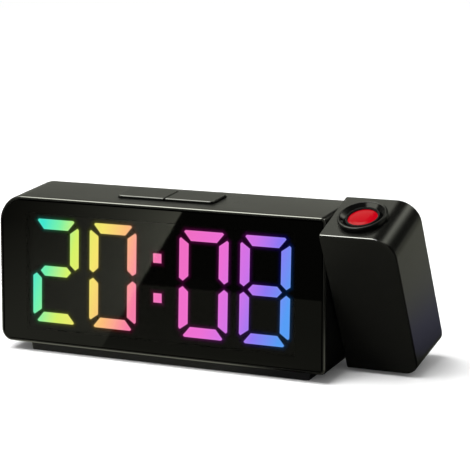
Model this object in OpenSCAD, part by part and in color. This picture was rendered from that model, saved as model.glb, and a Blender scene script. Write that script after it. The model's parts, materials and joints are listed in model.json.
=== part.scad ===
// Projection alarm clock: display case with a leaning mirror face and a
// projector head that turns on a hollow trunnion at the right-hand end.
// Millimetres. Origin: centre of the foot bar's underside, +X right, -Y front, +Z up.

/* [Case] */
// Width of the display case
case_w = 157.5; // [130:0.5:200]
// Height of the display case, without its foot
case_h = 63.8; // [54:0.1:80]
// Depth of the case along its bottom
case_d = 36.6; // [34:0.1:50]
// Backward lean of the display face
face_lean = 8; // [0:0.5:12]
// Case wall
wall = 2.2; // [1.6:0.1:3]
// Outline radius at the free top corner
r_top_left = 12; // [4:0.5:16]
// Outline radius at the free bottom corner
r_bot_left = 5.5; // [3:0.5:12]
// Outline radius at the two corners beside the projector head
r_right = 2.5; // [1:0.25:5]
// Rounding of the front and back edges
edge_r = 1.0; // [0.6:0.1:1.5]

/* [Foot bar] */
// Height of the foot bar under the case
foot_h = 4.2; // [3.5:0.1:10]
// Overhang of the case past the foot bar at the free end
foot_in_left = 12.4; // [8:0.1:30]
// Overhang of the case past the foot bar at the projector end
foot_in_right = 8.4; // [6:0.1:30]
// Setback of the foot bar behind the case's front edge
foot_in_front = 3.6; // [1:0.1:8]
// Setback of the foot bar from the case's back
foot_in_back = 3.6; // [1:0.1:8]
// Taper of the foot bar's ends over its height
foot_taper = 1.0; // [0:0.1:2]
// Thickness of the rubber pads let into the foot bar
pad_t = 1.2; // [0.8:0.1:2]
// Length of a rubber pad
pad_w = 28; // [12:1:40]
// Depth of a rubber pad
pad_d = 14; // [8:1:20]

/* [Display] */
// Thickness of the mirror panel
panel_t = 1.8; // [1.2:0.1:2.5]
// Width of the case rim round the mirror panel
rim = 1.3; // [1.1:0.1:2.5]
// Clearance round the mirror panel
panel_clear = 0.1; // [0.05:0.05:0.3]
// Thickness of the ledge behind the panel
ledge_t = 1.6; // [1.2:0.1:2.5]
// Case end to window, left and right
window_in_x = 12; // [9:0.5:16]
// Case edge to window, top and bottom
window_in_z = 5; // [4:0.5:8]
// Width of a digit over its strokes
digit_w = 23.6; // [18:0.1:28]
// Height of a digit over its strokes
digit_h = 45.6; // [30:0.1:48]
// Width of a stroke
stroke = 4.8; // [3:0.1:6]
// Gap between neighbouring strokes
seg_gap = 1.3; // [0.8:0.1:2]
// Lean of the digits
digit_lean = 1.1; // [0:0.1:8]
// Centre distance of two digits of a pair
digit_pitch = 28.7; // [26:0.1:32]
// Centre distance of the two middle digits
middle_pitch = 44; // [38:0.1:50]
// Display centre, right of the case's centre
display_dx = -0.5; // [-3:0.1:3]
// Display centre, above the face's centre
display_dz = 0; // [-3:0.1:3]
// Side of a colon dot
dot = 4.4; // [3:0.1:6]
// Distance of the two colon dots
dot_pitch = 16.9; // [10:0.1:24]
// Height of the colon's centre above the digits' centre
dot_dz = 1.2; // [-3:0.1:3]
// Thickness of the circuit boards
board_t = 1.6; // [1:0.1:2]

/* [Top keys] */
// Width of a top key
key_w = 23; // [16:0.5:30]
// Depth of a top key
key_d = 13.5; // [8:0.5:15]
// Corner radius at the outer ends of the top keys
key_r = 2; // [0.6:0.1:4]
// Gap between the two top keys
key_split = 0.5; // [0.4:0.1:1]
// Left end of the keys from the case's centre
key_x0 = -23.5; // [-50:0.25:0]
// Case back to the keys
key_back = 6.4; // [4:0.1:8]
// Rise of the keys above the case
key_rise = 1.1; // [0.3:0.1:1.5]
// Clearance round the keys
key_clear = 0.35; // [0.2:0.05:0.6]
// Travel of a top key
key_travel = 0.5; // [0.3:0.1:1]

/* [Rear side] */
// Thickness of the rear cover
cover_t = 2.0; // [1.6:0.1:3]
// Recess of the rear cover
cover_in = 0.3; // [0:0.1:1]
// Clearance round the rear cover
cover_clear = 0.2; // [0.1:0.05:0.5]
// Radius of a setting button
btn_r = 2.6; // [2:0.1:4]
// Distance of the setting buttons
btn_pitch = 13; // [10:0.5:18]
// Clearance round a setting button
btn_clear = 0.25; // [0.15:0.05:0.5]
// Travel of a setting button
btn_travel = 0.6; // [0.3:0.1:1]
// Radius of the loudspeaker
speaker_r = 14; // [10:0.5:16]
// Radius of the back-up cell
cell_r = 10; // [8:0.5:12]
// Thickness of the back-up cell
cell_t = 3.2; // [2:0.1:4]
// Bore of the power inlet
inlet_r = 3.2; // [2:0.1:4]

/* [Projector head] */
// Width of the head
pod_w = 31.7; // [26:0.1:40]
// Height of the head
pod_h = 65.4; // [50:0.1:80]
// Depth of the head
pod_d = 29.2; // [24:0.1:36]
// Gap between the case and the head
pod_gap = 0.8; // [0.5:0.1:2]
// Forward tilt of the head at rest
pod_tilt = 17.6; // [5:0.1:45]
// Wall of the head
pod_wall = 2.0; // [1.5:0.1:3]
// Slope of the head's underside against its own square, deeper at the back
pod_cut = 8.2; // [0:0.1:12]
// Outline radius at the head's top corner
pod_r_top = 9.5; // [4:0.5:14]
// Outline radius at the head's bottom corner
pod_r_bot = 6; // [3:0.5:10]
// Height of the pivot above the case's bottom
pivot_up = 32.8; // [26:0.1:45]
// Distance of the pivot from the case's back
pivot_back = 13.7; // [11:0.1:20]
// Radius of the trunnion
trunnion_r = 6; // [4.5:0.1:8]
// Bore of the trunnion for the lamp's wires
trunnion_bore = 4.2; // [2.5:0.1:6]
// Radial running clearance of the trunnion
run_clear = 0.05; // [0.02:0.01:0.1]
// Wall of the pivot bush
bush_wall = 1.4; // [1:0.05:2.5]
// Radial fit of the bush in the case
bush_fit = 0.02; // [0.01:0.01:0.1]
// Forward tilt of the head at its upright stop
tilt_low = 5; // [5:1:10]
// Turn of the head from stop to stop
turn = 90; // [60:5:120]
// Radius of the stop pin's track
stop_r = 10.9; // [10:0.1:14]
// Depth of the stop pin's track
stop_depth = 1.6; // [1:0.1:1.8]
// Radius of the stop pin
stop_pin_r = 1.4; // [1:0.1:2]
// Clearance of the stop pin
stop_clear = 0.3; // [0.2:0.05:0.5]

/* [Projector optics] */
// Lens axis, from the head's left face
lens_x = 13.85; // [12:0.05:20]
// Lens axis, forward of the head's middle
lens_fwd = 1.2; // [0:0.1:3]
// Outer radius of the focus ring
ring_r = 10.25; // [8:0.05:12]
// Height of the focus ring above the head
ring_h = 2.2; // [1:0.1:5]
// Radius of the focus ring's neck
neck_r = 8.9; // [7:0.1:10]
// Radius of the lens barrel
barrel_r = 7; // [4.5:0.05:8]
// Radius of the projection lens
glass_r = 6.1; // [3.5:0.1:7]
// Rise and fall of the lens when it is focused
focus_lift = 0.6; // [0.3:0.1:1.2]

/* [Hidden] */
$fn = 64;
eps = 0.01;
gap_face = 0.05;
foot_w = case_w - foot_in_left - foot_in_right;
foot_d = case_d - foot_in_front - foot_in_back;
x0 = -foot_w / 2 - foot_in_left;
x1 = x0 + case_w;
y0 = -foot_d / 2 - foot_in_front;
y1 = y0 + case_d;
z0 = foot_h;
z1 = z0 + case_h;
xm = (x0 + x1) / 2;
face_h = case_h / cos(face_lean);
// depths behind the face
d_ledge = panel_t + ledge_t;
d_mask = panel_t + 0.3;
flange_t = 1.6;
flange_w = 2;
web_t = 0.6;
led_t = 0.8;
mask_t = 5.5;
d_web = d_mask + mask_t;
d_board = d_web + web_t + led_t + 0.2;
mask_clear = 0.25;
board_gap = 0.26;
flange_gap = 0.08;
// height on the face of the case floor's inner side at a depth behind the face
function floor_s(d) = (wall + d * sin(face_lean)) / cos(face_lean);
wx0 = x0 + window_in_x;
wx1 = x1 - window_in_x;
ws0 = window_in_z;
ws1 = face_h - window_in_z;
// digits
dx0 = xm + display_dx;
ds0 = face_h / 2 + display_dz;
digit_x = [for (i = [-1.5, -0.5, 0.5, 1.5])
    dx0 + sign(i) * (middle_pitch / 2 + (abs(i) > 1 ? digit_pitch : 0))];
// lit strokes of 2, 0, 0, 8: a top, b/c right, d bottom, e/f left, g middle
lit = ["abged", "abcdef", "abcdef", "abcdefg"];
all_segs = "abcdefg";
// rear cover
cy1 = y1 - cover_in;
cy0 = cy1 - cover_t;
// main board
mb_y1 = cy0 - 7.5;
mb_y0 = mb_y1 - board_t;
mb_x0 = xm - 42;
mb_x1 = xm + 50;
mb_z0 = z0 + 7.2;
mb_z1 = z1 - 13.8;
post_r = 2.5;
mb_posts = [for (x = [mb_x0 + 4, mb_x1 - 4], z = [mb_z0 + 4, mb_z1 - 4]) [x, z]];
// setting buttons
btn_z = z1 - 21.8;
btn_x = [for (i = [0:3]) xm - 17 + i * btn_pitch];
switch_t = 3.5;
plunger_t = 0.3;
// loudspeaker
sp_x = x0 + speaker_r + 5.5;
sp_z = z0 + case_h / 2;
// back-up cell
bt_x = xm + 26;
bt_z = z0 + 18.5;
bt_r = cell_r + 0.6;
bt_wall = 1.2;
bt_seat = cell_r + 2.2;
door_t = 1.5;
bt_floor = cy1 - door_t - 0.3 - cell_t - 0.8;
tab_x = bt_seat + 4.2;
// power inlet and charging port
in_x = xm - 22;
in_z = z0 + 13;
usb_x = xm - 2;
usb_z = z0 + 13;
usb_w = 13.2;
usb_h = 5.8;
// top keys
kx0 = xm + key_x0;
ky1 = y1 - key_back;
ky0 = ky1 - key_d;
key_c = [for (i = [0, 1]) kx0 + key_w / 2 + i * (key_w + key_split)];
key_lip = 1.0;
stub = 1.3;
kb_z1 = z1 - wall - key_lip - gap_face - stub - key_travel - 0.05 - plunger_t - switch_t;
kb_x = [kx0 - 4.4, kx0 + 2 * key_w + key_split + 4.4];
kb_y = (ky0 + ky1) / 2 + 1.2;
// corner bosses for the rear cover
boss_r = 3.2;
rear_boss = [[x0 + 7, z1 - 7], [x0 + 5.2, z0 + 5.2], [x1 - 5, z0 + 5], [x1 - 5, z1 - 5]];
// display board posts in face coordinates
ear_r = 3.2;
ears = [[wx0 - 5.6, ws0 + 3.4], [wx0 - 5.6, ws1 - 7], [wx1 + 5.4, ws0 + 3.4], [wx1 + 5.4, ws1 - 3.4]];
// pivot
py = y1 - pivot_back;
pz = z0 + pivot_up;
bush_r = trunnion_r + run_clear + bush_wall;
bush_flange_r = stop_r - stop_pin_r - 0.45;
hub_r = bush_r + 2.3;
hub_l = 4.0;
hub_x = x1 - wall - hub_l;
washer_t = 1.0;
clip_t = 1.0;
px0 = x1 + pod_gap;
px1 = px0 + pod_w;
side_t = 2.2;
flange_r = trunnion_r + 3.4;
flange_h = 1.8;
groove_r = trunnion_r - 0.8;
clip_x1 = hub_x - 0.1 - washer_t - gap_face;
trunnion_x0 = clip_x1 - clip_t - 1.5;
// lens stack, heights along the head's own vertical
hw = pod_h / 2;
hd = pod_d / 2;
lx = px0 + lens_x;
w_top = hw;
w_in = hw - pod_wall;
w_rim = hw + gap_face + ring_h;
ret_t = 0.8;
ret_w0 = w_in - ret_t - 0.3;
tube_top = w_in;
w_neck = w_in - 4.4;
w_tube = 8;
lcd_w = w_tube + 7.4;
barrel_top = hw + ring_h - 0.8;
barrel_l = 13;
seat_w = barrel_top - 3.4;
lens_bore = barrel_r + 0.1;
lamp_t = board_t;

// ---- shared shapes ----

// cuts one square corner back to a true arc
module corner(x, y, r, sx, sy) {
    difference() {
        translate([sx > 0 ? x - 1 : x - r, sy > 0 ? y - 1 : y - r]) square(r + 1);
        translate([x + sx * r, y + sy * r]) circle(r);
    }
}

// rectangle with its own radius at each corner
module outline(ax, bx, ay, by, bl, br, tr, tl) {
    difference() {
        translate([ax, ay]) square([bx - ax, by - ay]);
        corner(ax, ay, bl, 1, 1);
        corner(bx, ay, br, -1, 1);
        corner(bx, by, tr, -1, -1);
        corner(ax, by, tl, 1, -1);
    }
}

module case_outline(i, za, zb) {
    outline(x0 + i, x1 - i, za + i, zb - i, max(r_bot_left - i, 0.4), max(r_right - i, 0.4),
        max(r_right - i, 0.4), max(r_top_left - i, 0.4));
}

// case outline inset by i, running from front to back between two depths
module prism(i, ya, yb) {
    translate([0, yb, 0]) rotate([90, 0, 0]) linear_extrude(yb - ya) case_outline(i, z0, z1);
}

// puts its child in the plane of the leaning face, outward normal along the child's Z
module on_face() {
    translate([0, y0, z0]) rotate([90 - face_lean, 0, 0]) children();
}

// everything deeper than d behind the face
module behind(d) {
    on_face() translate([x0 - 20, -face_h, -d - 150]) cube([case_w + 40, 3 * face_h, 150]);
}

module slab(d, t) {
    on_face() translate([x0 - 20, -face_h, -d - t]) cube([case_w + 40, 3 * face_h, t]);
}

// plate in the face's plane from depth a to depth b
module face_plate(a, b) {
    on_face() translate([0, 0, -b]) linear_extrude(b - a) children();
}

module rect(ax, bx, ay, by, r = 0.6) { outline(ax, bx, ay, by, r, r, r, r); }

// hole or post along Y
module along_y(x, z, ya, yb, r) { translate([x, yb, z]) rotate([90, 0, 0]) cylinder(r = r, h = yb - ya); }

// hole or post along X
module along_x(xa, xb, r) { translate([xa, 0, 0]) rotate([0, 90, 0]) cylinder(r = r, h = xb - xa); }

module at_pivot() { translate([0, py, pz]) children(); }

// the projector head's own frame, tilted forward
module in_pod() { translate([0, py, pz]) rotate([pod_tilt, 0, 0]) children(); }

// pan-head screw pointing down -Z with its head's top at the origin
module screw(r, len, head_r, head_t) {
    translate([0, 0, -head_t]) difference() {
        cylinder(r = head_r, h = head_t);
        for (a = [0, 90]) rotate([0, 0, a]) translate([-head_r * 0.6, -0.2, head_t - 0.4])
            cube([head_r * 1.2, 0.4, 1]);
    }
    translate([0, 0, -len]) cylinder(r = r, h = len - head_t / 2);
}

// ---- seven-segment strokes, drawn round the digit's centre ----

function seg_pts(s) = let (w = digit_w / 2, h = digit_h / 2, t = stroke, g = seg_gap,
        i = w - t, k = t * 0.25, j = h - t, m = t / 2)
    s == "a" ? [[-i + g * 0.6, j], [i - g * 0.6, j], [w - k * 1.8, h - k * 0.7],
        [w - k * 2.5, h], [-w + k * 2.5, h], [-w + k * 1.8, h - k * 0.7]] :
    s == "d" ? [for (p = seg_pts("a")) [p[0], -p[1]]] :
    s == "b" ? [[i, m + g * 0.65], [w - t * 0.42, g * 0.7], [w, k * 0.8 + g], [w, h - k * 3.3],
        [w - k * 0.7, h - k * 2.6], [i, j - g * 0.75]] :
    s == "c" ? [for (p = seg_pts("b")) [p[0], -p[1]]] :
    s == "f" ? [for (p = seg_pts("b")) [-p[0], p[1]]] :
    s == "e" ? [for (p = seg_pts("c")) [-p[0], p[1]]] :
    [[-i + g, m], [i - g, m], [w - t * 0.78, 0], [i - g, -m], [-i + g, -m], [-w + t * 0.78, 0]];

module seg(n, s) {
    translate([digit_x[n], ds0]) multmatrix([[1, tan(digit_lean), 0, 0], [0, 1, 0, 0],
        [0, 0, 1, 0], [0, 0, 0, 1]]) polygon(seg_pts(s));
}

module web(n) {
    rect(digit_x[n] - digit_w / 2 - 1.3, digit_x[n] + digit_w / 2 + 1.3, ds0 - digit_h / 2 - 1.3,
        ds0 + digit_h / 2 + 1.3, 1);
}

module dots() {
    for (i = [-1, 1]) translate([dx0 - dot / 2, ds0 + dot_dz + i * dot_pitch / 2 - dot / 2])
        square(dot);
}

// lit strokes of one digit, standing on their own diffuser web
module digit(n) {
    face_plate(d_mask, d_web + eps) for (s = lit[n]) seg(n, s);
    face_plate(d_web, d_web + web_t) web(n);
}

// ---- case ----

module case_solid() {
    intersection() {
        prism(0, y0 - 5, y1 - edge_r);
        behind(edge_r);
    }
    hull() {
        intersection() { prism(0, y0 - 5, y1 - edge_r); slab(edge_r, eps); }
        face_plate(edge_r * 0.29, edge_r * 0.29 + eps)
            case_outline(edge_r * 0.29, 0, face_h);
        face_plate(0, eps) case_outline(edge_r, 0, face_h);
    }
    hull() {
        prism(0, y1 - edge_r - eps, y1 - edge_r);
        prism(edge_r * 0.29, y1 - edge_r * 0.29 - eps, y1 - edge_r * 0.29);
        prism(edge_r, y1 - eps, y1);
    }
}

module key_slot() {
    translate([0, 0, z1 - wall - 1]) linear_extrude(wall + 2)
        rect(kx0 - key_clear, kx0 + 2 * key_w + key_split + key_clear, ky0 - key_clear,
            ky1 + key_clear, key_r + key_clear);
}

// blind track of the stop pin: part of a ring, behind and below the pivot
module stop_track() {
    r = stop_pin_r + stop_clear;
    half = turn / 2 + asin(r / stop_r);
    xa = x1 - stop_depth;
    at_pivot() rotate([tilt_low + turn / 2, 0, 0]) difference() {
        along_x(xa, x1 + 1, stop_r + r);
        along_x(xa - 1, x1 + 2, stop_r - r);
        for (s = [-1, 1]) rotate([s * (90 - half), 0, 0]) translate([xa - 2, -50, 0]) cube([8, 100, 50]);
    }
}

module case_shell() color("#17171a") {
    difference() {
        union() {
            difference() {
                case_solid();
                intersection() { prism(wall, y0 - 5, y1 + 1); behind(d_ledge); }
            }
            intersection() {
                union() {
                    for (p = rear_boss) along_y(p[0], p[1], cy0 - 12, cy0, boss_r);
                    for (p = ears) on_face() translate([p[0], p[1], -d_board])
                        cylinder(r = ear_r, h = d_board - d_ledge + eps);
                    for (x = kb_x) translate([x, kb_y, kb_z1]) cylinder(r = 2.6, h = z1 - kb_z1 - 1);
                    for (x = [-28, 28]) translate([x, 2, z0 + 1]) cylinder(r = 3, h = 5);
                    // hub round the pivot, on a thicker disc of the wall
                    at_pivot() along_x(hub_x, x1 - 1, hub_r);
                    at_pivot() along_x(x1 - wall - 1.2, x1 - 1, stop_r + stop_pin_r + 1);
                }
                prism(wall / 2, y0 - 5, cy0 - 0.1);
            }
        }
        face_plate(-1, panel_t) case_outline(rim, 0, face_h);
        face_plate(panel_t - 1, d_ledge + 1) rect(wx0, wx1, ws0, ws1, 2);
        key_slot();
        at_pivot() along_x(hub_x - 1, x1 + 1, bush_r + bush_fit);
        stop_track();
        for (p = rear_boss) along_y(p[0], p[1], cy0 - 9, cy0 + 1, 1.05);
        for (p = ears) on_face() translate([p[0], p[1], -d_board - 1]) cylinder(r = 0.95, h = 5);
        for (x = kb_x) translate([x, kb_y, kb_z1 - 1]) cylinder(r = 0.95, h = 6);
        for (x = [-28, 28]) translate([x, 2, z0 - 1]) cylinder(r = 1.45, h = 8);
    }
}

module mirror_panel() color("#08080b") {
    face_plate(0.1, panel_t) case_outline(rim + panel_clear, 0, face_h);
}

module display_mask() color("#0b0b0d") {
    difference() {
        union() {
            face_plate(d_mask, d_board)
                rect(wx0 + mask_clear, wx1 - mask_clear, ws0 + mask_clear, ws1 - mask_clear, 1.7);
            face_plate(d_ledge, d_ledge + flange_t)
                rect(wx0 - flange_w, wx1 + flange_w, floor_s(d_ledge + flange_t) + flange_gap,
                    ws1 + flange_w, 1);
        }
        face_plate(d_web, d_board + 1) rect(wx0 + 2, wx1 - 2, ws0 + 2, ws1 - 2, 1);
        face_plate(d_mask - 1, d_web + 1) {
            for (n = [0:3], s = all_segs) seg(n, s);
            dots();
        }
    }
}

module digit_hours_tens() color("#35e6b0") digit(0);
module digit_hours_units() color("#f7a04a") digit(1);
module digit_minutes_tens() color("#e86ae0") digit(2);
module digit_minutes_units() color("#7a8cff") digit(3);

module colon_dots() color("#ff6ab0") {
    face_plate(d_mask, d_web + eps) dots();
    face_plate(d_web, d_web + web_t) rect(dx0 - 5, dx0 + 5, ds0 - 14, ds0 + 16, 1);
}

module unlit_segments() color("#1a1a1e") {
    for (n = [0:3], s = all_segs) if (len(search(s, lit[n])) == 0)
        face_plate(d_mask, d_web) seg(n, s);
}

// one chip behind the middle of each stroke
module segment_leds() color("#e8e4d8") {
    w = digit_w / 2 - stroke / 2;
    h = digit_h / 2 - stroke / 2;
    face_plate(d_board - led_t, d_board) {
        for (x = digit_x) {
            for (z = [-h, 0, h]) translate([x - 1.6, ds0 + z - 0.8]) square([3.2, 1.6]);
            for (u = [-w, w], z = [-h / 2, h / 2]) translate([x + u - 0.8, ds0 + z - 1.6])
                square([1.6, 3.2]);
        }
        for (i = [-1, 1]) translate([dx0 - 0.8, ds0 + dot_dz + i * dot_pitch / 2 - 0.8]) square(1.6);
    }
}

module display_board() color("#1f5a35") {
    difference() {
        face_plate(d_board, d_board + board_t) {
            rect(wx0 - 1, wx1 + 1, floor_s(d_board + board_t) + board_gap, ws1, 1);
            for (p = ears) {
                translate([p[0], p[1]]) circle(ear_r);
                translate([min(p[0], xm + sign(p[0] - xm) * 40), p[1] - ear_r])
                    square([abs(p[0] - xm) - 40, 2 * ear_r]);
            }
        }
        for (p = ears) on_face() translate([p[0], p[1], -d_board - board_t - 1])
            cylinder(r = 1.2, h = board_t + 2);
    }
}

module display_screws() color("#b9bcc2") {
    for (p = ears) on_face() translate([p[0], p[1], -d_board - board_t - 1.2])
        mirror([0, 0, 1]) screw(0.9, 5, 2, 1.2);
}

// ---- boards inside the case ----

module main_board() color("#1f5a35") {
    difference() {
        union() {
            translate([0, mb_y1, 0]) rotate([90, 0, 0]) linear_extrude(board_t)
                rect(mb_x0, mb_x1, mb_z0, mb_z1, 1);
            // clock chip, driver chip, crystal, reservoir capacitor and plug header
            translate([xm - 6, mb_y0 - 1.4, mb_z0 + 17]) cube([12, 1.5, 12]);
            translate([xm + 20, mb_y0 - 1.2, mb_z0 + 24]) cube([9, 1.3, 6]);
            along_y(xm + 12, mb_z0 + 20, mb_y0 - 2.4, mb_y0 + 0.1, 1.6);
            along_y(xm - 24, mb_z0 + 24, mb_y0 - 6, mb_y0 + 0.1, 3);
            translate([xm + 32, mb_y0 - 4.5, mb_z0 + 14]) cube([4.5, 4.6, 12]);
        }
        for (p = mb_posts) along_y(p[0], p[1], mb_y0 - 1, mb_y1 + 1, 1.2);
        translate([bt_x + 6, mb_y0 - 1, bt_z - 1]) cube([0.8, board_t + 2, 2]);
    }
}

module board_screws() color("#b9bcc2") {
    for (p = mb_posts) translate([p[0], mb_y0 - 1.2, p[1]]) rotate([90, 0, 0]) screw(0.9, 6, 2, 1.2);
}

module key_board() color("#1f5a35") {
    difference() {
        translate([0, 0, kb_z1 - board_t]) linear_extrude(board_t)
            rect(kb_x[0] - 3.2, kb_x[1] + 3.2, kb_y - 4.6, ky1 + 0.6, 1);
        for (x = kb_x) translate([x, kb_y, kb_z1 - board_t - 1]) cylinder(r = 1.2, h = board_t + 2);
    }
}

// tact switch on a board, plunger along +Z
module tact() {
    translate([-3, -3, 0]) cube([6, 6, switch_t]);
    translate([0, 0, switch_t - 0.1]) cylinder(r = 1.6, h = plunger_t + 0.1);
}

module key_switches() color("#3a3a3e") {
    for (x = key_c) translate([x, kb_y, kb_z1]) tact();
}

module key_board_screws() color("#b9bcc2") {
    for (x = kb_x) translate([x, kb_y, kb_z1 - board_t - 1.2]) mirror([0, 0, 1]) screw(0.9, 6, 2, 1.2);
}

// plan of a key inset by i: rounded at its outer end, square beside the other key
module key_plan(n, xa, xb, i) {
    a = (n == 0 ? key_r : 0.5) - i;
    b = (n == 1 ? key_r : 0.5) - i;
    outline(xa + i, xb - i, ky0 + i, ky1 - i, a, b, b, a);
}

// key cap with a lip under the case top on its three outer sides
module top_key(i) {
    xa = kx0 + i * (key_w + key_split);
    xb = xa + key_w;
    zt = z1 - wall - gap_face;
    difference() {
        union() {
            translate([0, 0, zt - eps]) linear_extrude(z1 + key_rise - 0.3 - zt + eps)
                key_plan(i, xa, xb, 0);
            translate([0, 0, z1 + key_rise - 0.3 - eps]) linear_extrude(0.3 + eps)
                key_plan(i, xa, xb, 0.15);
            translate([0, 0, zt - key_lip]) linear_extrude(key_lip)
                rect(xa - (i == 0 ? 1.2 : 0), xb + (i == 1 ? 1.2 : 0), ky0 - 1.2, ky1 + 1.2, 0.5);
            translate([key_c[i], kb_y, zt - key_lip - stub]) cylinder(r = 1.6, h = stub + eps);
        }
        // moulded hollow round the stub
        translate([0, 0, zt - key_lip - 1]) linear_extrude(key_lip + 1.4) difference() {
            rect(xa + 1.8, xb - 1.8, ky0 + 1.8, ky1 - 1.8, 0.5);
            translate([key_c[i], kb_y]) circle(2.4);
        }
    }
}

module snooze_key() color("#1c1c1f") top_key(0);
module brightness_key() color("#1c1c1f") top_key(1);

// ---- rear side ----

module grille() {
    along_y(sp_x, sp_z, cy0 - 1, cy1 + 1, 0.9);
    for (k = [1:3], i = [0:6 * k - 1]) {
        a = i * 60 / k;
        along_y(sp_x + 3.3 * k * cos(a), sp_z + 3.3 * k * sin(a), cy0 - 1, cy1 + 1, 0.9);
    }
}

// outline of the battery door: a disc with a screw tab
module door_outline(c) {
    circle(bt_seat - c);
    translate([0, -3.6 + c]) square([tab_x, 7.2 - 2 * c]);
    translate([tab_x, 0]) circle(3.6 - c);
}

module rear_cover() color("#19191c") {
    difference() {
        union() {
            translate([0, cy1, 0]) rotate([90, 0, 0]) linear_extrude(cover_t)
                case_outline(wall + cover_clear, z0, z1);
            for (p = mb_posts) along_y(p[0], p[1], mb_y1, cy0 + eps, post_r);
            along_y(bt_x, bt_z, bt_floor - bt_wall, cy0 + eps, bt_seat + 1.3);
            along_y(bt_x + tab_x, bt_z, bt_floor - bt_wall, cy0 + eps, 3.6);
            difference() {
                along_y(sp_x, sp_z, cy0 - 4, cy0 + eps, speaker_r + 1.3);
                along_y(sp_x, sp_z, cy0 - 5, cy0 + 1, speaker_r + 0.1);
            }
        }
        for (p = rear_boss) {
            along_y(p[0], p[1], cy0 - 1, cy1 + 1, 1.3);
            along_y(p[0], p[1], cy1 - 0.8, cy1 + 1, 2.3);
        }
        for (p = mb_posts) along_y(p[0], p[1], mb_y1 - 1, cy0, 0.95);
        for (x = btn_x) along_y(x, btn_z, cy0 - 1, cy1 + 1, btn_r + btn_clear);
        grille();
        translate([bt_x, cy1 + eps, bt_z]) rotate([90, 0, 0]) linear_extrude(door_t + eps) door_outline(0);
        along_y(bt_x, bt_z, bt_floor, cy1, bt_r);
        along_y(bt_x + tab_x, bt_z, bt_floor, cy1, 0.95);
        translate([bt_x + 6, bt_floor - bt_wall - 1, bt_z - 1]) cube([0.8, bt_wall + 2, 2]);
        along_y(in_x, in_z, cy0 - 1, cy1 + 1, inlet_r + 1.05);
        translate([0, cy1 + 1, 0]) rotate([90, 0, 0]) linear_extrude(cover_t + 2)
            rect(usb_x - usb_w / 2 - 0.25, usb_x + usb_w / 2 + 0.25, usb_z - usb_h / 2 - 0.25,
                usb_z + usb_h / 2 + 0.25, 0.5);
    }
}

module rear_screws() color("#3a3a3e") {
    for (p = rear_boss) translate([p[0], cy1, p[1]]) rotate([-90, 0, 0]) screw(1, 9, 2.2, 0.8);
}

module set_switches() color("#3a3a3e") {
    for (x = btn_x) translate([x, mb_y1, btn_z]) rotate([-90, 0, 0]) tact();
}

module set_button(i) {
    ya = mb_y1 + switch_t + plunger_t + btn_travel + 0.05;
    difference() {
        union() {
            along_y(btn_x[i], btn_z, ya, cy1 + 0.5, btn_r);
            along_y(btn_x[i], btn_z, cy1 + 0.5 - eps, cy1 + 0.8, btn_r - 0.3);
            along_y(btn_x[i], btn_z, cy0 - gap_face - 0.8, cy0 - gap_face, btn_r + 1);
        }
    }
}

module time_button() color("#1c1c1f") set_button(0);
module alarm_button() color("#1c1c1f") set_button(1);
module up_button() color("#1c1c1f") set_button(2);
module down_button() color("#1c1c1f") set_button(3);

// basket and magnet turned as one profile, open towards the grille
module speaker_frame() color("#8b8d92") {
    translate([sp_x, cy0, sp_z]) rotate([90, 0, 0]) rotate_extrude() polygon([[0, 6.2],
        [6, 6.2], [6, 4.4], [9, 4.4], [speaker_r, 2.2], [speaker_r, 0],
        [speaker_r - 1.4, 0], [speaker_r - 1.4, 1.9], [8.6, 3.6], [0, 3.6]]);
}

module speaker_cone() color("#2b2b2e") {
    translate([sp_x, cy0, sp_z]) rotate([90, 0, 0]) rotate_extrude() polygon([[0, 1.4],
        [3, 1.8], [4.2, 3], [8.2, 1.6], [10.4, 1.0], [speaker_r - 1.5, 1.5],
        [speaker_r - 1.5, 1.8], [10.4, 1.3], [8.4, 2.0], [4.2, 3.6], [3, 3.6], [2.8, 2.1], [0, 1.7]]);
}

module battery_door() color("#19191c") {
    difference() {
        translate([bt_x, cy1, bt_z]) rotate([90, 0, 0]) linear_extrude(door_t) door_outline(0.15);
        along_y(bt_x + tab_x, bt_z, cy0 - 5, cy1 + 1, 1.2);
        along_y(bt_x + tab_x, bt_z, cy1 - 0.8, cy1 + 1, 2.3);
        for (i = [-1, 0, 1]) translate([bt_x - 8, cy1 - 0.3, bt_z + i * 2 - 0.4]) cube([3, 1, 0.8]);
    }
}

module door_screw() color("#3a3a3e") {
    translate([bt_x + tab_x, cy1, bt_z]) rotate([-90, 0, 0]) screw(0.9, 5, 2.2, 0.8);
}

module coin_cell() color("#c8cace") {
    ya = bt_floor + 0.35;
    along_y(bt_x, bt_z, ya, ya + 0.4, cell_r - 1.1);
    along_y(bt_x, bt_z, ya + 0.4 - eps, ya + cell_t, cell_r);
}

// leaf under the cell with a leg through the pocket's floor to the board
module cell_contact() color("#d0b870") {
    translate([bt_x - 6.6, bt_floor, bt_z - 2]) cube([13.2, 0.3, 4]);
    translate([bt_x + 6.2, mb_y0 + 0.2, bt_z - 0.8]) cube([0.4, bt_floor - mb_y0, 1.6]);
}

module power_inlet() color("#101013") {
    r = inlet_r + 0.85;
    difference() {
        union() {
            translate([in_x - 4.5, mb_y1, in_z - 5]) cube([9, cy0 - mb_y1 - 0.1, 9.5]);
            along_y(in_x, in_z, cy0 - 1, cy1 - 0.2, r);
        }
        along_y(in_x, in_z, mb_y1 + 1.2, cy1 + 1, inlet_r);
    }
    along_y(in_x, in_z, mb_y1 + 1, cy1 - 2, 1);
}

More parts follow.
